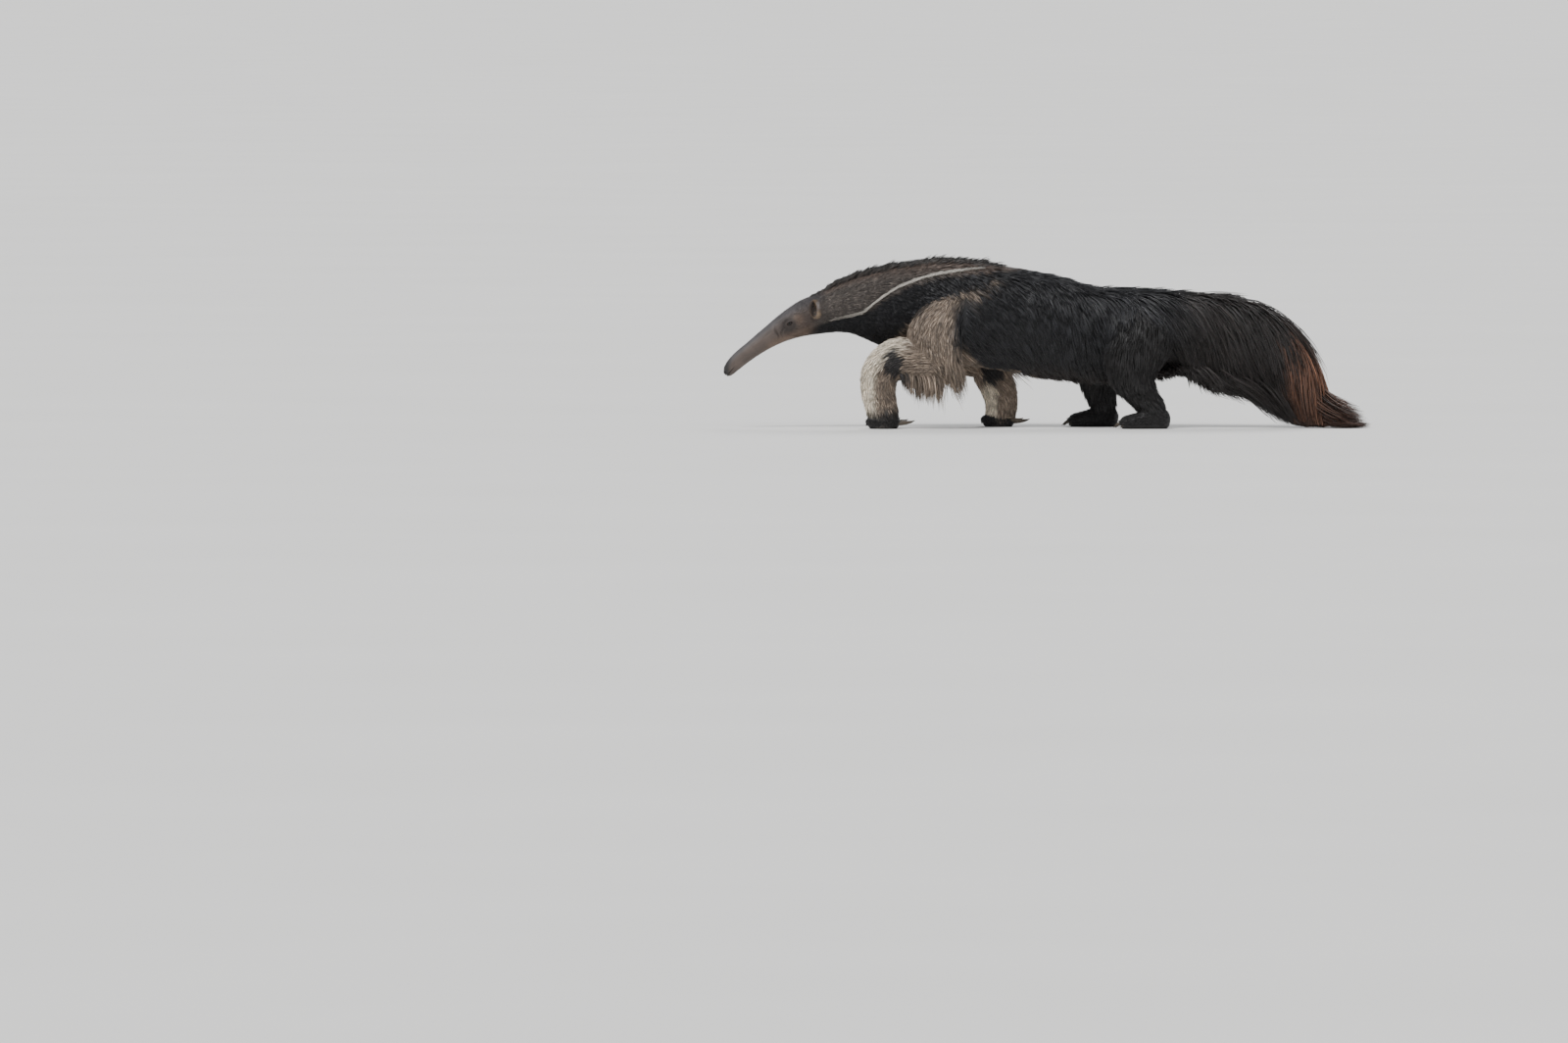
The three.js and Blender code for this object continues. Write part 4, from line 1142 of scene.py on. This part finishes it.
def plume(strands, rng):
    """Long hair fanned out from the tail's end, which levels out along the floor."""
    tube = TUBES["body"]
    count = 1500
    rings = 7
    fan = rng.uniform(-1, 1, count)
    layer = rng.uniform(0, 1, count)
    t = station("tailTip") - rng.uniform(0.004, 0.05, count)
    angle = np.radians(rng.uniform(-170, 170, count))
    root = tube.point(t, angle, -3.0)
    spread = np.radians(fan * 34)
    length = rng.uniform(130, 200, count)
    paths = [root]
    for ring in range(1, rings):
        fall = np.radians(58) * (1 - ring / rings) ** 0.8
        level = np.stack([np.cos(spread), np.sin(spread)], 1) * np.cos(fall)
        way = np.hstack([level, np.full((count, 1), -np.sin(fall))])
        point = paths[-1] + way * (length / (rings - 1))[:, None]
        lowest = 3 + layer * 26 * (1 - 0.7 * ring / rings)
        point[:, 2] = np.maximum(point[:, 2], lowest)
        paths.append(point)
    paths = np.stack(paths, 1)
    outs = np.repeat(np.array([[0.15, 0, 1.0]]), count, 0)[:, None].repeat(rings, 1)
    colour = mixed(filled("tail", count), COLOURS["tail_brown"], rng.uniform(0, 0.8, count))
    colour = colour * rng.uniform(0.7, 1.3, count)[:, None]
    spots = np.stack([0.9 + 0.08 * layer, fan * 0.45 + 0.5], 1)
    strands.add(paths, normalised(outs), rng.uniform(4, 7, count), colour, colour * 1.1, spots)


def node_tree(material):
    """A material's node tree with nothing but an output and a shader, and that shader."""
    material.use_nodes = True
    tree = material.node_tree
    tree.nodes.clear()
    output = tree.nodes.new("ShaderNodeOutputMaterial")
    shader = tree.nodes.new("ShaderNodeBsdfPrincipled")
    tree.links.new(shader.outputs["BSDF"], output.inputs["Surface"])
    return tree, shader


def new_group(name, *amounts):
    """A new shader group with a colour and some amounts going in, and a colour and a height coming out."""
    group = bpy.data.node_groups.new(name, "ShaderNodeTree")
    group.interface.new_socket("Colour", in_out="INPUT", socket_type="NodeSocketColor")
    for amount in amounts:
        group.interface.new_socket(amount, in_out="INPUT", socket_type="NodeSocketFloat")
    group.interface.new_socket("Colour", in_out="OUTPUT", socket_type="NodeSocketColor")
    group.interface.new_socket("Height", in_out="OUTPUT", socket_type="NodeSocketFloat")
    return group, group.nodes.new("NodeGroupInput"), group.nodes.new("NodeGroupOutput")


def shade_by(group, source, result, value, value_range, tone_range):
    """Multiplies a group's colour by a value, once that is spread over a range of tones."""
    spread = group.nodes.new("ShaderNodeMapRange")
    for socket, amount in zip(("From Min", "From Max", "To Min", "To Max"), (*value_range, *tone_range)):
        spread.inputs[socket].default_value = amount
    group.links.new(value, spread.inputs["Value"])
    shade = group.nodes.new("ShaderNodeMix")
    shade.data_type = "RGBA"
    shade.blend_type = "MULTIPLY"
    shade.inputs["Factor"].default_value = 1.0
    group.links.new(source.outputs["Colour"], shade.inputs["A"])
    group.links.new(spread.outputs["Result"], shade.inputs["B"])
    group.links.new(shade.outputs["Result"], result.inputs["Colour"])
    return shade


def fibre_group():
    """A shader group that varies a colour a little over the surface and gives a fine height."""
    group = bpy.data.node_groups.get("fibre_variation")
    if group:
        return group
    group, source, result = new_group("fibre_variation", "Coarse Scale", "Fine Scale", "Strength")
    where = group.nodes.new("ShaderNodeTexCoord")
    noises = []
    for scale, detail in (("Coarse Scale", 3), ("Fine Scale", 4)):
        noise = group.nodes.new("ShaderNodeTexNoise")
        noise.inputs["Detail"].default_value = detail
        group.links.new(where.outputs["Object"], noise.inputs["Vector"])
        group.links.new(source.outputs[scale], noise.inputs["Scale"])
        noises.append(noise)
    both = group.nodes.new("ShaderNodeMath")
    both.operation = "MULTIPLY"
    for noise, factor in zip(noises, both.inputs):
        group.links.new(noise.outputs["Fac"], factor)
    shade = shade_by(group, source, result, both.outputs[0], (0.1, 0.42), (0.6, 1.35))
    group.links.new(source.outputs["Strength"], shade.inputs["Factor"])
    group.links.new(noises[1].outputs["Fac"], result.inputs["Height"])
    return group


def strand_group():
    """A shader group that draws fine hairs along each tuft, from the tuft's own place attribute."""
    group = bpy.data.node_groups.get("strand_fibres")
    if group:
        return group
    group, source, result = new_group("strand_fibres")
    where = group.nodes.new("ShaderNodeAttribute")
    where.attribute_name = "fibre_place"
    fine = group.nodes.new("ShaderNodeTexNoise")
    fine.inputs["Scale"].default_value = 1.0
    fine.inputs["Detail"].default_value = 2
    group.links.new(where.outputs["Vector"], fine.inputs["Vector"])
    shade_by(group, source, result, fine.outputs["Fac"], (0.32, 0.7), (0.5, 1.5))
    group.links.new(fine.outputs["Fac"], result.inputs["Height"])
    return group


def surface_material(name, coarse, fine, strength, roughness, bump, distance, sheen=0.0, strands=False):
    """A material that takes its colour from the vertices and breaks it up with noise and bump."""
    material = bpy.data.materials.new(name)
    tree, shader = node_tree(material)
    tone = tree.nodes.new("ShaderNodeAttribute")
    tone.attribute_name = "coat_colour"
    last = tree.nodes.new("ShaderNodeGroup")
    last.node_tree = fibre_group()
    last.inputs["Coarse Scale"].default_value = coarse
    last.inputs["Fine Scale"].default_value = fine
    last.inputs["Strength"].default_value = strength
    tree.links.new(tone.outputs["Color"], last.inputs["Colour"])
    if strands:
        streaks = tree.nodes.new("ShaderNodeGroup")
        streaks.node_tree = strand_group()
        tree.links.new(last.outputs["Colour"], streaks.inputs["Colour"])
        last = streaks
    tree.links.new(last.outputs["Colour"], shader.inputs["Base Color"])
    raised = tree.nodes.new("ShaderNodeBump")
    raised.inputs["Strength"].default_value = bump
    raised.inputs["Distance"].default_value = distance
    tree.links.new(last.outputs["Height"], raised.inputs["Height"])
    tree.links.new(raised.outputs["Normal"], shader.inputs["Normal"])
    shader.inputs["Roughness"].default_value = roughness
    shader.inputs["Sheen Weight"].default_value = sheen
    shader.inputs["Sheen Roughness"].default_value = 0.4
    return material


def skin_material():
    """Dull, finely wrinkled skin."""
    return bpy.data.materials.get("anteater_skin") or surface_material(
        "anteater_skin", coarse=28, fine=480, strength=0.5, roughness=0.6, bump=0.5, distance=0.0014)


def coat_material():
    """Coarse hair with a soft sheen."""
    return bpy.data.materials.get("anteater_coat") or surface_material(
        "anteater_coat", coarse=22, fine=240, strength=0.35, roughness=0.48, bump=0.5, distance=0.0006,
        sheen=0.06, strands=True)


def claw_material():
    """Smooth dark horn."""
    return bpy.data.materials.get("anteater_claw") or surface_material(
        "anteater_claw", coarse=60, fine=700, strength=0.7, roughness=0.38, bump=0.25, distance=0.0006)


def eye_material():
    """A dark, wet eye."""
    material = bpy.data.materials.new("anteater_eye")
    tree, shader = node_tree(material)
    tone = tree.nodes.new("ShaderNodeAttribute")
    tone.attribute_name = "coat_colour"
    tree.links.new(tone.outputs["Color"], shader.inputs["Base Color"])
    shader.inputs["Roughness"].default_value = 0.16
    shader.inputs["Specular IOR Level"].default_value = 0.22
    shader.inputs["Coat Weight"].default_value = 0.25
    shader.inputs["Coat Roughness"].default_value = 0.05
    return material


def floor_material():
    """A plain pale floor with a faint unevenness."""
    material = bpy.data.materials.new("studio_floor")
    tree, shader = node_tree(material)
    where = tree.nodes.new("ShaderNodeTexCoord")
    noise = tree.nodes.new("ShaderNodeTexNoise")
    noise.inputs["Scale"].default_value = 0.8
    tree.links.new(where.outputs["Object"], noise.inputs["Vector"])
    ramp = tree.nodes.new("ShaderNodeValToRGB")
    ramp.color_ramp.elements[0].color = (0.70, 0.69, 0.67, 1)
    ramp.color_ramp.elements[1].color = (0.76, 0.75, 0.73, 1)
    tree.links.new(noise.outputs["Fac"], ramp.inputs["Fac"])
    tree.links.new(ramp.outputs["Color"], shader.inputs["Base Color"])
    shader.inputs["Roughness"].default_value = 0.8
    return material


class AnteaterCoatSettings(bpy.types.PropertyGroup):
    """Sizes of the coat that a user would change."""

    amount: bpy.props.FloatProperty(
        name="Amount", description="Share of the full number of tufts", default=0.78, min=0.05, max=1.2)
    body_length: bpy.props.FloatProperty(
        name="Body Length", description="Length of the torso's coat, as a share", default=1.0, min=0.3, max=2)
    tail_length: bpy.props.FloatProperty(
        name="Tail Length", description="Length of the tail's hair, as a share", default=1.0, min=0.3, max=2)
    mane_length: bpy.props.FloatProperty(
        name="Mane Length", description="Length of the crest's hair, as a share", default=1.0, min=0.3, max=2)
    mane_count: bpy.props.IntProperty(
        name="Mane Hairs", description="Number of tufts in the crest", default=3600, min=100, max=9000)


class AnteaterSkinSettings(bpy.types.PropertyGroup):
    """How fine the skin is."""

    voxel: bpy.props.FloatProperty(
        name="Detail", description="Size of the skin's facets before the head is refined",
        default=0.0068, min=0.004, max=0.02, unit="LENGTH")


class AnteaterStageSettings(bpy.types.PropertyGroup):
    """Light and camera."""

    lens: bpy.props.FloatProperty(
        name="Lens", description="Focal length of the camera in millimetres", default=381.0, min=50, max=800)
    distance: bpy.props.FloatProperty(
        name="Distance", description="From the camera to the animal",
        default=50.0, min=5, max=120, unit="LENGTH")
    elevation: bpy.props.FloatProperty(
        name="Elevation", description="Height of the view over the horizon", default=math.radians(2.2),
        min=0, max=1.5, subtype="ANGLE")


FLESH_NODES = (
    "head", "neck", "torso", "tail", "ear_left", "ear_right", "foreleg_left", "foreleg_right",
    "forefoot_left", "forefoot_right", "hind_leg_left", "hind_leg_right", "hind_foot_left", "hind_foot_right",
)
HEAD_REAR = -600
FACE_REAR = -620
SNOUT_TIP_REAR = -850


def on_head(points):
    """Which points lie on the head."""
    return points[:, 0] < HEAD_REAR


def on_face(points):
    """Which points lie in front of the ears' rear edge."""
    return points[:, 0] < FACE_REAR


def on_detail(points):
    """Which points lie round the eyes or at the snout's end, where the finest shapes are."""
    eye = np.hypot((points[:, 0] + 714) / 50, (points[:, 2] - 304) / 36) < 1
    return (eye & (np.abs(points[:, 1]) > 12)) | (points[:, 0] < SNOUT_TIP_REAR)


class ANTEATER_OT_skin(bpy.types.Operator):
    """Make one skin over the head, neck, torso, tail, legs and ears"""

    bl_idname = "anteater.skin"
    bl_label = "Skin"

    def execute(self, context):
        mesh = merged_skin(context.scene.anteater_skin.voxel)
        for test in (on_head, on_face, on_detail):
            refine(mesh, test)
        points, normals = mesh_arrays(mesh)
        near = on_head(points)
        shade = np.ones(len(points))
        points[near], shade[near] = shape_face(points[near], normals[near])
        points[:, 2] = np.maximum(points[:, 2], 0)
        mesh.vertices.foreach_set("co", place(points).astype(np.float32).ravel())
        mesh.update()
        vertices = [points]
        triangles = [triangulate(mesh)]
        # The skin's colours, darkened by the painted shade of the face's folds, wrinkles, mouth and nostrils.
        colour = [skin_markings(points) * shade[:, None]]
        start = len(points)
        for hand in HANDS.values():
            ear_points, ear_faces, ear_colours = ear_surface(hand)
            vertices.append(ear_points)
            triangles.append(ear_faces + start)
            colour.append(ear_colours)
            start += len(ear_points)
        skin = make_object("skin", np.vstack(vertices), np.vstack(triangles))
        paint(skin.data, np.vstack(colour))
        skin.data.materials.append(skin_material())
        bpy.data.meshes.remove(mesh)
        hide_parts(*FLESH_NODES)
        return {"FINISHED"}


class ANTEATER_OT_eyes(bpy.types.Operator):
    """Make the two eyes, dark brown round a black pupil"""

    bl_idname = "anteater.eyes"
    bl_label = "Eyes"

    def execute(self, context):
        material = eye_material()
        rings = 31
        sides = 40
        polar = np.repeat(np.arange(1, rings + 1) / (rings + 1) * math.pi, sides)
        angle = np.tile(np.arange(sides) / sides * 2 * math.pi, rings)
        outward = np.append(np.cos(polar), [1, -1])
        flat = np.stack([np.sin(polar) * np.cos(angle), np.sin(polar) * np.sin(angle)], 1)
        flat = np.vstack([flat, np.zeros((2, 2))])
        front = np.degrees(np.arccos(np.clip(outward, -1, 1)))
        colours = mixed(filled("iris", len(front)), COLOURS["pupil"], smoothstep(30, 24, front))
        colours = mixed(colours, COLOURS["eye_rim"], smoothstep(52, 60, front))
        faces = np.array(between_rings(rings, sides) + over_ends(rings, sides))
        for label, hand in HANDS.items():
            ball = np.stack([flat[:, 0], hand * outward, flat[:, 1]], 1)
            centre = EYE_AT * np.array([1, hand, 1])
            triangles = faces if hand > 0 else faces[:, ::-1]
            eye = make_object(f"eyeball_{label}", centre + ball * EYE_RADIUS, triangles)
            paint(eye.data, colours)
            eye.data.materials.append(material)
            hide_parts(f"eye_{label}")
        return {"FINISHED"}


class ANTEATER_OT_claws(bpy.types.Operator):
    """Make the curved claws of all four feet"""

    bl_idname = "anteater.claws"
    bl_label = "Claws"

    def execute(self, context):
        for label, hand in HANDS.items():
            for index, claw in enumerate(FORE_CLAWS):
                self.build(f"fore_{label}_{index + 1}", self.fore_rows(claw, hand))
            for index, claw in enumerate(HIND_CLAWS):
                self.build(f"hind_{label}_{index + 1}", self.hind_rows(claw, hand))
        return {"FINISHED"}

    def fore_rows(self, claw, hand):
        """Stations of a forefoot's claw, which is turned back and curves in."""
        foot_x, foot_y = FORE_FEET[hand]
        x = foot_x + claw["forward"] + FORE_CLAW_ROOTS
        y = foot_y - hand * claw["inward"]
        length, thick, height = claw["length"], claw["thick"], claw["height"]
        bend = hand * length * 0.22
        middle = thick * 0.75
        thin = thick * 0.42
        return [
            (x - 14, y, height + 2, thick * 0.7, thick * 0.7, thick * 0.7),
            (x + 4, y - bend * 0.1, height - 1, thick, thick, thick * 0.8),
            (x + length * 0.45, y - bend * 0.5, height - thick * 0.3, middle, middle, thick * 0.62),
            (x + length * 0.8, y - bend, height - thick * 0.1, thin, thin, thick * 0.36),
            (x + length, y - bend * 1.3, height + thick * 0.4, CLAW_TIP, CLAW_TIP, CLAW_TIP),
        ]

    def hind_rows(self, claw, hand):
        """Stations of a hind foot's claw, which points forward and down."""
        x = HIND_ANKLES[hand] - HIND_KNUCKLES + claw["back"]
        y = hand * (HIND_ANKLE_SPREAD - claw["inward"])
        length, thick = claw["length"], claw["thick"]
        return [
            (x + 14, y, HIND_CLAW_HEIGHT + 2, thick * 0.7, thick * 0.7, thick * 0.6),
            (x, y, HIND_CLAW_HEIGHT + 3, thick, thick, thick * 0.75),
            (x - length * 0.5, y, HIND_CLAW_HEIGHT - 1, thick * 0.75, thick * 0.75, thick * 0.55),
            (x - length, y, 3.5, CLAW_TIP, CLAW_TIP, CLAW_TIP),
        ]

    def build(self, name, rows):
        """One claw along its stations, darker towards the tip."""
        steps = 24
        sides = 16
        vertices, triangles = Tube(rows).mesh(steps, sides)
        claw = make_object(f"horn_{name}", vertices, triangles)
        t = np.append(np.repeat(np.linspace(0, 1, steps + 1), sides), [0, 1])
        base = filled("claw", len(t))
        paint(claw.data, mixed(base, base * 0.45, smoothstep(0.3, 0.9, t)))
        claw.data.materials.append(claw_material())
        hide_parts(f"claw_{name}")


def scaled(settings, count):
    """A number of tufts times the chosen amount."""
    return max(int(count * settings.amount), 20)


class ANTEATER_OT_head_coat(bpy.types.Operator):
    """Cover the head, ears and neck with short fur and set the crest on the neck"""

    bl_idname = "anteater.head_coat"
    bl_label = "Head and Neck Coat"

    def execute(self, context):
        settings = context.scene.anteater_coat
        material = coat_material()
        rng = np.random.default_rng(21)
        face = Strands("coat_head", "coat_grey")

        def spread(t, angle):
            point = TUBES["body"].point(t, angle)
            eye = np.hypot(point[:, 0] - EYE_AT[0], point[:, 2] - EYE_AT[2])
            ear = np.where(np.abs(point[:, 1]) > 14, ear_ring(point), 2)
            behind = smoothstep(station("snoutMiddle"), station("ears"), t) + 0.05
            return behind**1.6 * smoothstep(14, 26, eye) * smoothstep(0.95, 1.1, ear)

        coat(face, "body", rng, scaled(settings, 24000), (station("snoutEnd"), station("nape")),
             length=[3, 4.5, 8, 15], width=1.2, rise=[0.3, 0.5, 1.8, 3.6], heading=[0, 4, 8, 10],
             weight=0, rings=2, cling=1, rough=7, density=spread, seed=31, contrast=0.17, tip=1.05)
        for hand in HANDS.values():
            ear_hair(face, rng, hand)
        face.build(material)

        for label, hand in HANDS.items():
            neck = Strands(f"coat_neck_{label}", "coat_grey")
            coat(neck, "body", rng, scaled(settings, 13500), (station("nape") - 0.008, station("shoulders")),
                 hands=[hand], length=[13, 20, 26, 32], width=2.3, rise=[3, 5, 7, 9], heading=[2, 4, 12, 24],
                 weight=0.02, rings=3, cling=1, clump=0.3, guides=7, seed=37, contrast=0.26, highlight_share=0.5)
            line_hair(neck, rng, hand)
            neck.build(material)

        crest = Strands("coat_mane", "coat_grey")
        mane(crest, rng, settings)
        crest.build(material)
        return {"FINISHED"}


class ANTEATER_OT_body_coat(bpy.types.Operator):
    """Cover the torso with hair that grows longer from the shoulder to the rump"""

    bl_idname = "anteater.body_coat"
    bl_label = "Torso Coat"

    def execute(self, context):
        settings = context.scene.anteater_coat
        material = coat_material()
        size = settings.body_length
        for label, hand in HANDS.items():
            rng = np.random.default_rng(43 + hand)
            front = Strands(f"coat_torso_{label}", "coat_black")
            stretch = (station("shoulders") - 0.01, station("ribsRear"))
            coat(front, "body", rng, scaled(settings, 9000), stretch, hands=[hand],
                 length=size * np.array([34, 46, 60, 80]), width=4.0, rise=[9, 10, 11, 13],
                 heading=[30, 36, 42, 50], weight=0.05, cling=0.9, clump=0.5, guides=9, seed=47,
                 over=[f"upper_arm_{label}"], highlight_share=0.4)
            front.build(material)
            rear = Strands(f"coat_flank_{label}", "coat_black")
            coat(rear, "body", rng, scaled(settings, 6600), (station("ribsMiddle"), station("rump") + 0.02),
                 angles=(0, 176), hands=[hand], length=size * np.array([70, 115, 160, 185]), width=4.8,
                 rise=[14, 20, 28, 34], heading=[44, 54, 60, 62], weight=0.2, cling=0.5, rings=5, clump=0.62,
                 guides=14, seed=53, over=[f"hind_leg_{label}"], highlight_share=0.4, level=(30, 70))
            rear.build(material)
        return {"FINISHED"}


class ANTEATER_OT_tail_coat(bpy.types.Operator):
    """Hang the long hair on the tail"""

    bl_idname = "anteater.tail_coat"
    bl_label = "Tail Coat"

    def execute(self, context):
        settings = context.scene.anteater_coat
        material = coat_material()
        size = settings.tail_length
        for label, hand in HANDS.items():
            rng = np.random.default_rng(61 + hand)
            tail = Strands(f"coat_tail_{label}", "coat_tail")
            coat(tail, "body", rng, scaled(settings, 5400), (station("rump"), station("tailEnd") + 0.03),
                 hands=[hand], length=size * np.array([200, 265, 240, 165]), width=5.6,
                 rise=[34, 44, 44, 40], heading=[60, 55, 32, 8], weight=0.27, cling=0.35, rings=6, clump=0.6,
                 guides=14, seed=67, highlight_share=0.4, level=(2, 16))
            tail.build(material)
        end = Strands("coat_plume", "coat_tail")
        plume(end, np.random.default_rng(71))
        end.build(material)
        return {"FINISHED"}


class ANTEATER_OT_leg_coat(bpy.types.Operator):
    """Cover the legs and feet, with a long fringe behind the arms"""

    bl_idname = "anteater.leg_coat"
    bl_label = "Leg Coat"

    def execute(self, context):
        settings = context.scene.anteater_coat
        material = coat_material()
        for label, hand in HANDS.items():
            rng = np.random.default_rng(83 + hand)
            arm = Strands(f"coat_foreleg_{label}", "coat_arm")
            upper = f"upper_arm_{label}"
            lower = f"forearm_{label}"
            coat(arm, upper, rng, scaled(settings, 4200), (0.1, 0.98), length=[30, 36, 34], width=3.0,
                 rise=[3, 7, 7, 6], heading=[-10, -10, -8], weight=0.04, cling=0.9, clump=0.4, guides=8,
                 region=(0, 1, 0, 0.45), seed=89, contrast=0.34, highlight_share=0.6)
            coat(arm, lower, rng, scaled(settings, 6200), (0.04, 0.99), length=[30, 27, 23, 19], width=3.0,
                 rise=[8, 7, 6, 5], heading=[-12, -8, -4, 0], weight=0.04, cling=0.9, clump=0.4, guides=8,
                 region=(0, 1, 0.4, 0.75), seed=97, contrast=0.3, highlight_share=0.5)
            coat(arm, upper, rng, scaled(settings, 1100), (0.35, 0.95), angles=(0, 62), length=[70, 95, 100],
                 width=4.0, rise=[16, 26, 34], heading=[-8], cling=0, rings=6, clump=0.6, guides=10,
                 region=(0, 1, 0, 0.35), seed=101, contrast=0.34, uneven=0.3)
            if hand < 0:
                coat(arm, lower, rng, scaled(settings, 900), (0.05, 0.42), angles=(0, 56),
                     length=[76, 62, 44], width=3.0, rise=[26, 22, 14], heading=[176, 170, 150], weight=0.55,
                     cling=0, rings=6, clump=0.55, guides=10, region=(0, 1, 0.4, 0.75), seed=103,
                     contrast=0.34, uneven=0.34)
            coat(arm, f"forefoot_{label}", rng, scaled(settings, 1900), (0.03, 0.97), angles=(0, 128),
                 length=[8, 12, 14], width=2.0, rise=[2, 3, 3], heading=[150, 140, 130], weight=0.2, cling=1,
                 rings=3, region=(0, 1, 0.78, 1), seed=105)
            arm.build(material)

            leg = Strands(f"coat_hind_leg_{label}", "coat_black")
            thigh = f"hind_leg_{label}"
            foot = f"hind_foot_{label}"
            coat(leg, thigh, rng, scaled(settings, 4600), (0.05, 0.97), length=[90, 90, 70, 40, 26],
                 width=4.2, rise=[16, 15, 12, 8, 5], heading=[-12, -12, -8, -4, 0], weight=0.08, rings=5,
                 clump=0.5, guides=10, region=(0, 1, 0, 0.6), seed=107)
            coat(leg, foot, rng, scaled(settings, 2600), (0.05, 0.96), angles=(0, 118), length=[9, 12, 16],
                 width=2.2, rise=[2, 3, 4], heading=[180], weight=0, cling=1, rings=3,
                 region=(0, 1, 0.65, 1), seed=109)
            leg.build(material)
        return {"FINISHED"}


# Half the floor's side in metres, and what the camera looks at, which is the photograph's middle.
FLOOR_HALF = 400.0
AIM = (-720.0, 0.0, -283.0)
# Each light: the way towards it, its power and its softness in degrees.
SUNS = {
    "key": ((-0.55, -0.75, 1.25), 2.9, 22),
    "fill": ((0.9, -0.8, 0.7), 0.8, 50),
    "back": ((0.3, 1.0, 0.9), 1.3, 30),
}


class ANTEATER_OT_stage(bpy.types.Operator):
    """Set the floor, the soft lights and the camera"""

    bl_idname = "anteater.stage"
    bl_label = "Stage"

    def execute(self, context):
        settings = context.scene.anteater_stage
        self.make_floor(context.scene)
        world = bpy.data.worlds.new("studio")
        world.use_nodes = True
        sky = world.node_tree.nodes["Background"]
        sky.inputs["Color"].default_value = (0.86, 0.89, 0.93, 1)
        sky.inputs["Strength"].default_value = 0.55
        context.scene.world = world
        for name, (towards, power, softness) in SUNS.items():
            light = bpy.data.lights.new(name, "SUN")
            light.energy = power
            light.angle = math.radians(softness)
            lamp = bpy.data.objects.new(name, light)
            lamp.rotation_euler = Vector(towards).to_track_quat("Z", "Y").to_euler()
            context.scene.collection.objects.link(lamp)
        self.make_camera(context.scene, settings)
        return {"FINISHED"}

    def make_floor(self, scene):
        """A wide square floor."""
        mesh = bpy.data.meshes.new("studio_floor")
        corners = [(x * FLOOR_HALF, y * FLOOR_HALF, 0) for x, y in ((-1, -1), (1, -1), (1, 1), (-1, 1))]
        mesh.from_pydata(corners, [], [(0, 1, 2, 3)])
        floor = bpy.data.objects.new("studio_floor", mesh)
        floor.data.materials.append(floor_material())
        scene.collection.objects.link(floor)

    def make_camera(self, scene, settings):
        """A far camera at the left side, a little over the horizon."""
        aim = place(np.array(AIM))
        away = np.array([0, -math.cos(settings.elevation), math.sin(settings.elevation)]) * settings.distance
        data = bpy.data.cameras.new("camera")
        data.lens = settings.lens
        data.sensor_width = 36.0
        data.clip_end = 400
        camera = bpy.data.objects.new("camera", data)
        camera.location = Vector(aim + away)
        camera.rotation_euler = Vector(-away).to_track_quat("-Z", "Y").to_euler()
        scene.collection.objects.link(camera)
        scene.camera = camera


OPERATORS = (
    ANTEATER_OT_skin,
    ANTEATER_OT_eyes,
    ANTEATER_OT_claws,
    ANTEATER_OT_head_coat,
    ANTEATER_OT_body_coat,
    ANTEATER_OT_tail_coat,
    ANTEATER_OT_leg_coat,
    ANTEATER_OT_stage,
)


class ANTEATER_PT_panel(bpy.types.Panel):
    """Sizes and steps of the anteater"""

    bl_idname = "ANTEATER_PT_panel"
    bl_label = "Anteater"
    bl_space_type = "VIEW_3D"
    bl_region_type = "UI"
    bl_category = "Anteater"

    def draw(self, context):
        scene = context.scene
        for settings in (scene.anteater_skin, scene.anteater_coat, scene.anteater_stage):
            for name in settings.__annotations__:
                self.layout.prop(settings, name)
        for operator in OPERATORS:
            self.layout.operator(operator.bl_idname)


SETTINGS = {
    "anteater_skin": AnteaterSkinSettings,
    "anteater_coat": AnteaterCoatSettings,
    "anteater_stage": AnteaterStageSettings,
}


def register():
    """Makes the settings, the steps and the panel known."""
    for settings in SETTINGS.values():
        bpy.utils.register_class(settings)
    for name, settings in SETTINGS.items():
        setattr(bpy.types.Scene, name, bpy.props.PointerProperty(type=settings))
    for operator in OPERATORS:
        bpy.utils.register_class(operator)
    bpy.utils.register_class(ANTEATER_PT_panel)


def unregister():
    """Takes the panel, the steps and the settings away again."""
    bpy.utils.unregister_class(ANTEATER_PT_panel)
    for operator in OPERATORS:
        bpy.utils.unregister_class(operator)
    for name, settings in SETTINGS.items():
        delattr(bpy.types.Scene, name)
        bpy.utils.unregister_class(settings)


def main():
    """Builds the whole model."""
    register()
    bpy.ops.anteater.skin()
    bpy.ops.anteater.eyes()
    bpy.ops.anteater.claws()
    bpy.ops.anteater.head_coat()
    bpy.ops.anteater.body_coat()
    bpy.ops.anteater.tail_coat()
    bpy.ops.anteater.leg_coat()
    bpy.ops.anteater.stage()


if __name__ == "__main__":
    main()
